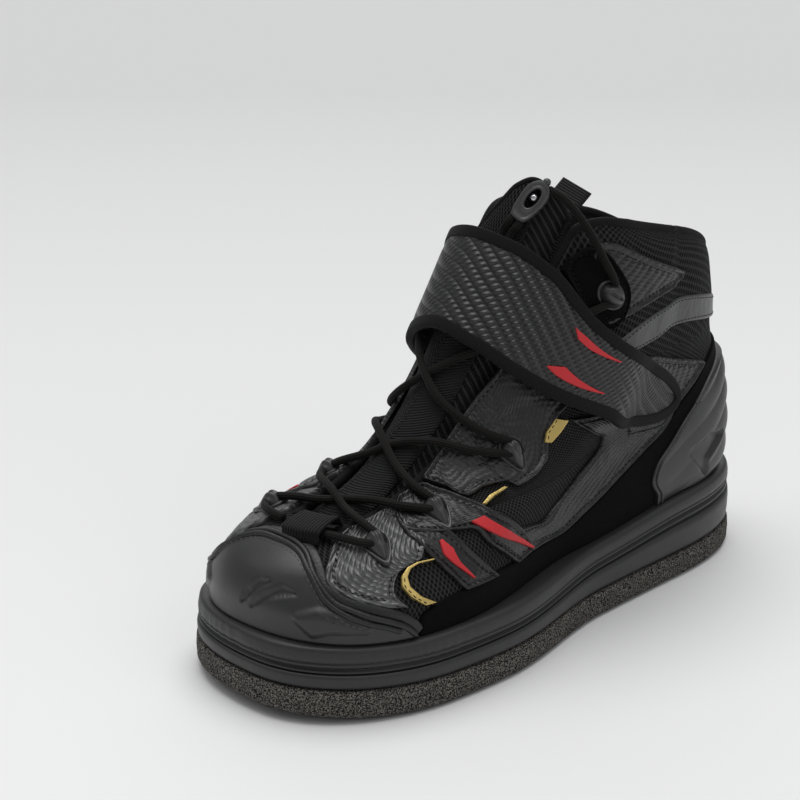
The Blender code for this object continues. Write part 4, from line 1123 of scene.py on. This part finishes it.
def makeCounter():
    rows = tuple((p, h, -p, h) for p, h in counter["rows"])
    made = makePanel("heelCounter", rows, counter["thick"], rubber, "moulded", ("heel_counter",),
                     rim=counter["rim"], along=counter["along"], across=counter["across"],
                     relief=counterRelief)
    for i, inset in enumerate(counter["pipes"]):
        for end, word in ((False, "Outer"), (True, "Inner")):
            points, normals = (line[counter["pipePart"]] for line in panelLine(made, inset, end))
            path = points - normals * counter["pipeSink"]
            profile = ovalProfile(*counter["pipe"])
            piece = carry("counterPiping%d%s" % (i + 1, word), path, normals, profile, rubber)
            keep(piece, "moulded")


def rolledEdge(place, level, edge):
    # A rolled rim and, inside it, the furrow of the seam.
    rim = rolled["high"] * hump(edge, rolled["at"], rolled["wide"])
    return rim - rolled["furrow"] * hump(edge, rolled["furrowAt"], rolled["furrowWide"])


def makeOverlays():
    for key, (material, slot, node, hasRim, hasSecond) in looks.items():
        for side, word in sides:
            nodes = (node + "_" + word,) if node else ()
            panel = panels[key]
            made = makePanel(key + "_" + word, panel["rows"], panel["thick"], material, slot, nodes,
                             side=side, relief=rolledEdge if hasRim else None, **panelGrid)
            if hasRim:
                sewEdges(made, rolled["furrowAt"])
            if hasSecond:
                sew(*panelLine(made, rolled["secondSeam"]))
    rows = heelStrip["rows"] + tuple((-a, b, -c, d) for a, b, c, d in reversed(heelStrip["rows"][:-1]))
    made = makePanel("heelStrip", rows, heelStrip["thick"], paleSkin, "moulded", ("heel_strip",),
                     along=heelStrip["along"])
    sewEdges(made, heelStrip["seam"])
    for key, (under, material, rows) in trims.items():
        for side, word in sides:
            made = makePanel(key + "_" + word, rows, trimForm["thick"], material, "leather", side=side,
                             rim=trimForm["rim"], seat=trimForm["seat"] + panels[under]["thick"], **trimGrid)
            if material is goldFoil:
                sew(*panelLine(made, trimForm["seam"]))


# Strap over the instep, with a bound edge
strap = {
    "rows": ((0.3345, 0.512, 0.532), (0.3365, 0.492, 0.548), (0.341, 0.474, 0.57), (0.348, 0.461, 0.597),
             (0.358, 0.454, 0.626), (0.372, 0.454, 0.657), (0.388, 0.464, 0.685), (0.405, 0.479, 0.709),
             (0.429, 0.506, 0.738), (0.45, 0.533, 0.76), (0.55, 0.666, 0.835), (0.65, 0.75, 0.893),
             (0.77, 0.82, 0.943), (0.89, 0.861, 0.963), (1.0, 0.876, 0.968)),
    "along": 280, "across": 40, "seat": 0.002, "thick": 0.0028, "lift": 0.0044, "liftPlaces": (0.42, 0.55),
    "puff": 0.0004, "puffEdge": (0.003, 0.012), "tapeWide": 0.0046, "tapeOver": 0.0004, "tapeHigh": 0.0012,
    "tapeLow": 0.0005, "tapeSides": 24, "tapePower": 0.42, "tapePoints": 900,
    "redThick": 0.0006, "redSeat": 0.0005, "redRim": 0.0004,
    "reds": (((0.671, 0.866, 0.686, 0.884), (0.64, 0.847, 0.655, 0.868), (0.561, 0.806, 0.56, 0.808)),
             ((0.714, 0.828, 0.713, 0.83), (0.69, 0.811, 0.676, 0.823), (0.575, 0.74, 0.574, 0.742))),
}


def strapBase(place, level):
    # Height of the strap's underside: it lifts off the ankle towards the instep. Places that run past the
    # front count back from it.
    around = 1 - np.abs(np.abs(place) - 1) if np.min(place) < 0 else 1 - np.abs(place - 1)
    return strap["seat"] + strap["lift"] * between(around, *strap["liftPlaces"])


def makeStrap():
    rows = strap["rows"] + tuple((2 - p, a, b) for p, a, b in reversed(strap["rows"][:-1]))
    rows = tuple((p, a, p, b) for p, a, b in rows)
    thick = strap["thick"]
    place, level = panelChart(rows, strap["along"], strap["across"], 1)
    u, v, edge = surfaceRuns(lastPoint(level, place))
    base = strapBase(place, level)
    outer = onLast(level, place, base + thick + strap["puff"] * between(edge, *strap["puffEdge"]))
    inner = onLast(level, place, base)
    keepSheet("strapBand", outer, inner, evenPattern(u, v), strapCloth, "strap", "instep_strap")
    chart = np.stack([place, level], -1)
    border = np.concatenate([chart[:, 0], chart[-1, 1:], chart[-2::-1, -1], chart[0, -2:0:-1]])
    border = splinePath(border * chartScale, strap["tapePoints"], closed=True) / chartScale
    ground, normal = lastFrame(border[:, 1], border[:, 0])
    path = ground + normal * (strapBase(border[:, 0], border[:, 1]) + thick / 2)[:, None]
    inward = inwardSign(path, normal, np.roll(path, -1, 0) - np.roll(path, 1, 0))
    half = strap["tapeWide"] / 2
    profile = ovalProfile(half + strap["tapeOver"], thick + strap["tapeHigh"], strap["tapeSides"],
                          base=-thick / 2 - strap["tapeLow"], power=strap["tapePower"])
    profile[:, 0] += inward * (half - strap["tapeOver"])
    keep(carry("strapTape", path, normal, profile, tape, closed=True), "strap")
    for row, rows in enumerate(strap["reds"]):
        for side, word in sides:
            makePanel("strapRed%d_%s" % (row + 1, word), rows, strap["redThick"], redCloth, "strap",
                      side=side, rim=strap["redRim"], seat=thick + strap["redSeat"], base=strapBase,
                      **trimGrid)


# Eyelets: moulded pebbles that the lace runs through
eyelets = {
    "rows": (    # name, level, place, bulge of the lace that comes to it, far end of the long axis
        ("vamp", 0.38, 0.818, 0.0, (0.79, 0.304)), ("lower", 0.49, 0.766, 0.11, (0.724, 0.411)),
        ("upper", 0.652, 0.696, 0.13, (0.671, 0.609)), ("ankle", 0.917, 0.609, 0.05, (0.596, 0.913))),
    "seat": 0.0017, "ahead": 0.0006, "sink": 0.0007, "around": 56, "slitWide": 0.0008,
    "slitFade": (0.55, 0.75), "fluteFade": (0.0005, 0.005), "fallFrom": -0.002, "domePower": 2.6,
    "steep": 1.5, "heelStep": 0.99,
    "foot": ((1.32, -0.0007), (1.3, 0.0004), (1.2, 0.0009), (1.06, 0.0004)), "domeRings": 18,
    "hood": {"near": 0.005, "far": 0.009, "wide": 0.0047, "taper": 0.5, "high": 0.0062, "fall": 0.0036,
             "flute": 0.0009, "step": 0.0029, "slit": 0.0},
    "bean": {"near": 0.0062, "far": 0.0062, "wide": 0.0047, "taper": 0.0, "high": 0.0058, "fall": 0.0,
             "flute": 0.0, "step": 0.003, "slit": 0.0013},
}


def eyeletFrame(level, place):
    point, out = lastFrame(level, place)
    heelward = square(lastPoint(level, place * eyelets["heelStep"]) - point, out)
    up = np.cross(out, heelward)
    if up[2] < 0:
        up = -up
    return point + out * eyelets["seat"], out, heelward, up


def makeEyelets():
    # A hood: an oval dome on a flat foot, high and fluted where the lace comes in, low and narrow at the
    # far tip. The bean at the ankle is even, with a slit along it.
    footShare, footRise = np.array(eyelets["foot"]).T
    domeRings = eyelets["domeRings"]
    rho = np.concatenate([footShare, np.cos(np.linspace(0, math.pi / 2, domeRings))])[:, None]
    foot = np.concatenate([footRise, np.zeros(domeRings)])[:, None]
    count = eyelets["around"]
    angle = circle(count)
    cosine = np.cos(angle)
    quads, _ = gridQuads(len(rho), count, wrap=True)
    faces = np.concatenate([quads, fan(len(rho) * count, np.arange(count)[::-1])])
    for sign, side in sides:
        for name, level, place, _, far in eyelets["rows"]:
            form = eyelets["bean" if name == "ankle" else "hood"]
            seat, out, _, _ = eyeletFrame(level, sign * place)
            axis = square(lastPoint(far[1], sign * far[0]) - lastPoint(level, sign * place), out)
            cross = np.cross(out, axis)
            a = rho * np.where(cosine > 0, cosine * form["far"], cosine * form["near"])
            c = rho * np.sin(angle) * form["wide"] * (1 - form["taper"] * np.clip(cosine, 0, 1))
            high = form["high"] - form["fall"] * between(a, eyelets["fallFrom"], form["far"])
            dome = np.sqrt(np.clip(1 - rho ** eyelets["domePower"], 0, 1))
            groove = form["flute"] * (0.5 + 0.5 * np.cos(2 * math.pi * c / form["step"]))
            groove = groove * (1 - between(a, *eyelets["fluteFade"]))
            slit = form["slit"] * hump(c, 0, eyelets["slitWide"])
            slit = slit * (1 - between(rho, *eyelets["slitFade"]))
            rise = foot + high * dome - (groove + slit) * np.minimum(dome * eyelets["steep"], 1)
            centre = seat + axis * eyelets["ahead"]
            points = centre + a[..., None] * axis + c[..., None] * cross + rise[..., None] * out
            points = np.concatenate([points.reshape(-1, 3), (seat - out * eyelets["sink"])[None]])
            piece = putMesh("pebble_%s_%s" % (name, side), points, faces, materials=[pebbleSkin])
            keep(piece, "pebble", "eyelet_%s_%s" % (name, side))


# Laces
lace = {"radius": 0.00175, "turn": 0.0026, "high": 0.0042, "low": 0.0018, "climb": (0.04, 0.14),
        "over": 0.0017, "overWide": 0.16, "angles": (-70, 0, 70), "barLevel": 0.434, "barPlace": 0.96,
        "turnLevel": 0.02, "shares": (0.14, 0.32, 0.5, 0.68, 0.86), "sides": 14, "points": 420,
        "firstSide": (0.3, 0.2, 1.0),
        "run": ((-0.0324, 0.0386, 0.1503), (-0.0295, 0.0386, 0.1555), (-0.025, 0.0375, 0.163),
                (-0.021, 0.0345, 0.1725), (-0.018, 0.0295, 0.181), (-0.0153, 0.0225, 0.1885),
                (-0.0126, 0.0163, 0.192)), "runPoints": 120,
        "endLevels": (0.972, 0.955, 0.93, 0.9), "endPlaces": (0.912, 0.94), "endRise": 0.001, "apart": 0.0021,
        "endDrops": (-0.0004, 0.003), "endPoints": 80}


def laceRoute(sign):
    # One half of the lace from the first bar up to the ankle, round an eyelet on each side in turn.
    # Where the halves cross, one passes over the other, in turn.
    route = []
    lastLevel = lace["barLevel"]
    fromPlace = lace["barPlace"]
    for step, (_, level, place, bulge, _) in enumerate(eyelets["rows"]):
        onSide = place if step % 2 == 0 else 2 - place
        for share in lace["shares"]:
            atLevel = lastLevel + (level - lace["turnLevel"] - lastLevel) * share
            atLevel = atLevel + bulge * math.sin(math.pi * share)
            at = fromPlace + (onSide - fromPlace) * share
            away = abs(abs(at) - 1)
            rise = lace["low"] + (lace["high"] - lace["low"]) * between(away, *lace["climb"])
            if (step + (sign > 0)) % 2 == 0 and step > 0:
                rise = rise + lace["over"] * hump(share, 0.5, lace["overWide"])
            point, normal = lastFrame(atLevel, at * sign)
            route.append(point + normal * rise)
        seat, out, heelward, up = eyeletFrame(level, place * sign if step % 2 == 0 else -place * sign)
        for angle in lace["angles"]:
            turn = heelward * math.cos(math.radians(angle)) + up * math.sin(math.radians(angle))
            route.append(seat + turn * lace["turn"] + out * (lace["high"] - eyelets["seat"]))
        lastLevel = level + lace["turnLevel"]
        fromPlace = onSide
    return np.array(route)


def roundTube(name, path, radius, sides, material):
    # Tube whose sections turn with the path's own side vector, carried on from point to point.
    ahead = unit(np.gradient(path, axis=0))
    normal = np.zeros_like(path)
    side = np.cross(ahead[0], lace["firstSide"])
    for i, way in enumerate(ahead):
        side = square(side, way)
        normal[i] = side
    angle = circle(sides)
    profile = np.stack([radius * np.cos(angle), radius * np.sin(angle)], 1)
    return carry(name, path, normal, profile, material)


def laceTube(name, path, node):
    return keep(roundTube(name, path, lace["radius"], lace["sides"], laceCloth), "lace", node)


def makeLaces():
    for sign, word in ((1, "right"), (-1, "left")):
        laceTube("lace_" + word, splinePath(laceRoute(sign), lace["points"]), "lace_crossings")


def makeFreeLace(lock):
    path = splinePath(lace["run"], lace["runPoints"])
    piece = laceTube("laceRun", path, "lace_run")
    seat, out, sideways, upwards = lockFrame()
    level = np.array(lace["endLevels"])
    for word, place, apart in zip(("lateral", "medial"), lace["endPlaces"], (1, -1)):
        point, normal = lastFrame(level, np.full(level.shape, place))
        start = seat + sideways * (apart * lace["apart"]) + out * (lockForm["thick"] / 2)
        top = np.stack([start - upwards * (lockForm["half"][1] + drop) for drop in lace["endDrops"]])
        path = splinePath(np.concatenate([top, point + normal * lace["endRise"]]), lace["endPoints"])
        piece = laceTube("laceEnd_" + word, path, "lace_end_" + word)


# Cord lock: a flat tab, wide and round at the top, with a slot
lockForm = {"level": 1.004, "place": 0.885, "rise": -0.0006, "thick": 0.0042, "half": (0.0054, 0.01),
            "flare": 0.0013, "slot": (0.0024, 0.0048), "slotUp": 0.0014, "tilt": 28, "around": 72,
            "square": 0.45, "nub": 0.0018, "nubUp": 0.4, "bead": 0.0019, "beadUp": 0.0006,
            # Share from the slot to the outline, then height: from the back face, or from the front face
            "back": ((0.0, 0.0), (0.5, 0.0), (0.94, 0.0), (0.985, 0.0002), (1.0, 0.0007)),
            "front": ((1.0, -0.0012), (0.98, -0.0004), (0.92, 0.0), (0.8, 0.0), (0.74, -0.0003),
                      (0.55, -0.0005), (0.36, -0.0005), (0.3, -0.0001), (0.18, 0.0003), (0.06, 0.0),
                      (0.0, -0.0008))}
ball = {"rings": 12, "around": 24}


def lockFrame():
    # Seat, outward, sideways and upward directions of the lock, which leans back.
    point, out = lastFrame(lockForm["level"], lockForm["place"])
    _, _, heelward, up = eyeletFrame(lockForm["level"], lockForm["place"])
    lean = math.radians(lockForm["tilt"])
    upwards = up * math.cos(lean) + heelward * math.sin(lean)
    sideways = heelward * math.cos(lean) - up * math.sin(lean)
    return point + out * lockForm["rise"], out, sideways, upwards


def makeBall(name, centre, radius, material):
    # Rings of latitude, with a hub at each pole.
    rings = ball["rings"]
    around = ball["around"]
    turn = np.linspace(0, math.pi, rings + 2)[1:-1]
    turn, angle = np.meshgrid(turn, circle(around), indexing="ij")
    points = np.stack([np.sin(turn) * np.cos(angle), np.sin(turn) * np.sin(angle), -np.cos(turn)], -1)
    quads, _ = gridQuads(rings, around, wrap=True)
    hub = rings * around
    low = np.arange(around)
    faces = np.concatenate([quads, fan(hub, low[::-1]), fan(hub + 1, low + hub - around)])
    points = np.concatenate([points.reshape(-1, 3), [[0, 0, -1], [0, 0, 1]]]) * radius + centre
    return putMesh(name, points, faces, materials=[material])


def makeLock():
    # Rings of the tab: back edge, rounded side, front edge, slot's rim and slot's wall.
    seat, out, sideways, upwards = lockFrame()
    around = lockForm["around"]
    angle = circle(around)
    power = np.where(np.sin(angle) < 0, lockForm["square"], 1.0)
    side = bent(np.cos(angle), power)
    along = bent(np.sin(angle), power)
    wide = lockForm["half"][0] + lockForm["flare"] * along
    slotSide = np.cos(angle) * lockForm["slot"][0]
    slotAlong = np.sin(angle) * lockForm["slot"][1] + lockForm["slotUp"]
    thick = lockForm["thick"]

    def ring(share, rise):
        # Share 1 is the outline and 0 is the slot.
        a = slotSide + (side * wide - slotSide) * share
        b = slotAlong + (along * lockForm["half"][1] - slotAlong) * share
        return seat + np.outer(a, sideways) + np.outer(b, upwards) + out * rise
    rows = lockForm["back"] + tuple((share, thick + rise) for share, rise in lockForm["front"])
    points = np.stack([ring(*row) for row in rows])
    quads, _ = gridQuads(len(rows), around, wrap=True)
    first = np.arange(around)
    close = bridge(first + (len(rows) - 1) * around, first)
    piece = putMesh("lockTab", points.reshape(-1, 3), np.concatenate([quads, close]), materials=[plastic])
    middle = seat + out * (thick / 2)
    nub = middle + upwards * (lockForm["half"][1] + lockForm["nub"] * lockForm["nubUp"])
    keep(makeBall("lockNub", nub, lockForm["nub"], plastic), "lock")
    bead = middle + upwards * (lockForm["slotUp"] + lockForm["beadUp"])
    keep(makeBall("lockBead", bead, lockForm["bead"], metal), "lock")
    return keep(piece, "lock", "cord_lock")


# Webbing loop at the foot of the throat
loop = {"levels": (0.378, 0.386, 0.394, 0.449, 0.457, 0.463), "places": (0.915, 0.998), "thick": 0.0012,
        "rise": (0.0004, 0.003, 0.0056, 0.0056, 0.0036, 0.0004), "least": 0.0003, "edge": 0.0005,
        "edgeWide": 0.001, "riseScale": 10, "rows": 70, "columns": 30}


def makeLoop():
    # The rise is scaled up while the curve is drawn, so that it weighs as much as the level.
    scale = loop["riseScale"]
    chart = splinePath(np.stack([loop["levels"], np.array(loop["rise"]) * scale], 1), loop["rows"])
    place = np.linspace(*loop["places"], loop["columns"])[None, :]
    level, place = np.broadcast_arrays(chart[:, :1], place)
    rise = np.broadcast_to(np.maximum(chart[:, 1:] / scale, loop["least"]), place.shape)
    u, v, _ = surfaceRuns(onLast(level, place, rise + loop["thick"]))
    edge = loop["edge"] * (1 - np.clip(v / loop["edgeWide"], 0, 1))
    outer = onLast(level, place, rise + loop["thick"] - edge)
    inner = onLast(level, place, rise)
    keepSheet("vampLoop", outer, inner, np.stack([v, u], -1), webbing, "webbing", "vamp_loop")


# Sole: felt pad, moulded midsole and insole. A row is a share of the height and an inset
soleForm = {
    "stations": 220,
    "felt": ((0.0, 0.0026), (0.03, 0.0013), (0.1, 0.0001), (0.2, -0.0004), (0.6, -0.0006), (0.95, -0.0003),
             (1.0, 0.0006)),
    "lower": ((0.0, 0.002), (0.03, 0.0014), (0.12, 0.0004), (0.3, 0.0001), (0.6, 0.0), (0.79, 0.0003),
              (0.81, 0.0014), (0.83, 0.0024), (0.88, 0.0024), (0.9, 0.0012), (0.92, 0.0008), (0.97, 0.0009),
              (1.0, 0.0026)),
    "upper": ((0.1, 0.0026), (0.14, 0.0013), (0.2, 0.0007), (0.3, 0.0006), (0.32, 0.0011), (0.35, 0.0011),
              (0.37, 0.0006), (0.55, 0.0006), (0.78, 0.001), (0.9, 0.0015), (0.97, 0.0026), (1.0, 0.0042),
              (1.0, 0.008)),
    "gap": 0.0003, "ribs": 0.0004, "ribStep": 0.0026, "ribStart": 0.06, "ribFade": 0.03,
    "ribShares": (0.12, 0.9), "patternHigh": 0.02,
}
insole = {"level": 0.04, "stations": 81, "inset": 0.0012, "rises": (0.0003, 0.0036), "top": 0.0042,
          "bevel": 0.012}


def soleRing(inset, count):
    # Outline of the sole, from the heel along the outer side to the toe and back, moved in by the inset.
    share = (1 - np.cos(np.linspace(0, math.pi, count))) / 2
    table = np.array(sole["outline"])
    heelEnd = roundEnd(1 - share / sole["heelEnd"], sole["heelPower"])
    toeEnd = roundEnd((share - 1 + sole["toeEnd"]) / sole["toeEnd"], sole["toePower"])
    half = smoothThrough(table[:, 0], table[:, 1:], share) * (heelEnd * toeEnd)[:, None]
    x = sole["length"] * (share - 0.5)
    ring = np.concatenate([np.stack([x, half[:, 0]], 1), np.stack([x[-2:0:-1], -half[-2:0:-1, 1]], 1)])
    ahead = np.roll(ring, -1, 0) - np.roll(ring, 1, 0)
    out = unit(np.stack([-ahead[:, 1], ahead[:, 0]], 1))
    return ring - out * np.reshape(inset, (-1, 1))


def ringSolid(name, rings, slot, nodes, material):
    # Rings joined one to the next, with both ends closed across from side to side.
    rings = np.stack(rings)
    rows, count = rings.shape[:2]
    quads, marks = gridQuads(rows, count, wrap=True)
    i = np.arange(count // 2)
    mirror = (count - i) % count
    following = (count - i - 1) % count
    cap = np.stack([i, i + 1, following, mirror], 1)
    tip = cap[:, 2] == cap[:, 1]
    cap[tip] = np.stack([cap[tip, 0], cap[tip, 1], cap[tip, 3], np.full(tip.sum(), -1)], 1)
    start = cap[:, 0] == cap[:, 3]
    cap[start, 3] = -1
    back = np.where(cap >= 0, cap + (rows - 1) * count, -1)
    run = runOf(np.concatenate([rings[0], rings[0][:1]]))
    rise = np.linspace(0, soleForm["patternHigh"], rows)
    pattern = np.stack(np.meshgrid(rise, run, indexing="ij")[::-1], -1).reshape(-1, 2)
    plain = np.zeros_like(cap)
    piece = putMesh(name, rings.reshape(-1, 3), np.concatenate([quads, cap, back]),
                    np.concatenate([marks, plain, plain]), pattern, [material])
    return keep(piece, slot, *nodes)


def makeSole():
    count = soleForm["stations"]
    base = soleRing(0.0, count)
    bottom, feltTop, groove, top = soleHeights(base[:, 0]).T
    felt = [np.c_[soleRing(inset, count), bottom + (feltTop - soleForm["gap"] - bottom) * share]
            for share, inset in soleForm["felt"]]
    ringSolid("feltPad", felt, "felt", ("felt_outsole",), feltCloth)
    ribFrom = soleForm["ribStart"]
    rib = 0.5 + 0.5 * np.sin(2 * math.pi * runOf(base) / soleForm["ribStep"])
    rib = rib * between(base[:, 0], ribFrom, ribFrom + soleForm["ribFade"]) * soleForm["ribs"]
    low, high = soleForm["ribShares"]
    rings = []
    for share, inset in soleForm["lower"]:
        rings.append(np.c_[soleRing(inset, count), feltTop + (groove - feltTop) * share])
    for share, inset in soleForm["upper"]:
        ribbed = inset + rib if low < share < high else inset
        rings.append(np.c_[soleRing(ribbed, count), groove + (top - groove) * share])
    ringSolid("midsoleBody", rings, "midsole", ("midsole",), midsoleSkin)


def makeInsole():
    place = np.linspace(0, 1, insole["stations"])
    place = np.r_[place, -place[-2:0:-1]]
    ring, normal = lastFrame(np.full(place.shape, insole["level"]), place)
    normal[:, 2] = 0
    flat = ring - unit(normal) * (last["wall"] + insole["inset"])
    z = soleHeights(flat[:, 0])[:, 3]
    rings = [np.c_[flat[:, :2], z + rise] for rise in insole["rises"]]
    inside = flat + (flat.mean(0) - flat) * insole["bevel"]
    rings.append(np.c_[inside[:, :2], z + insole["top"]])
    ringSolid("insolePad", rings, "insole", ("insole",), lining)


makeUpper()
makeCollarBinding()
print("upper is made")
makeTongue()
makePull()
print("tongue is made")
makeToeCap()
makeCounter()
makeOverlays()
print("overlays are made")
makeStrap()
makeEyelets()
makeLoop()
print("strap and eyelets are made")
makeLaces()
makeFreeLace(makeLock())
print("laces are made")
makeSole()
makeInsole()
print("sole is made")
keep(makeStitches("stitches", thread, "dark"), "leather")
keep(makeStitches("paleStitches", paleThread, "pale"), "leather")
print("stitches are made")
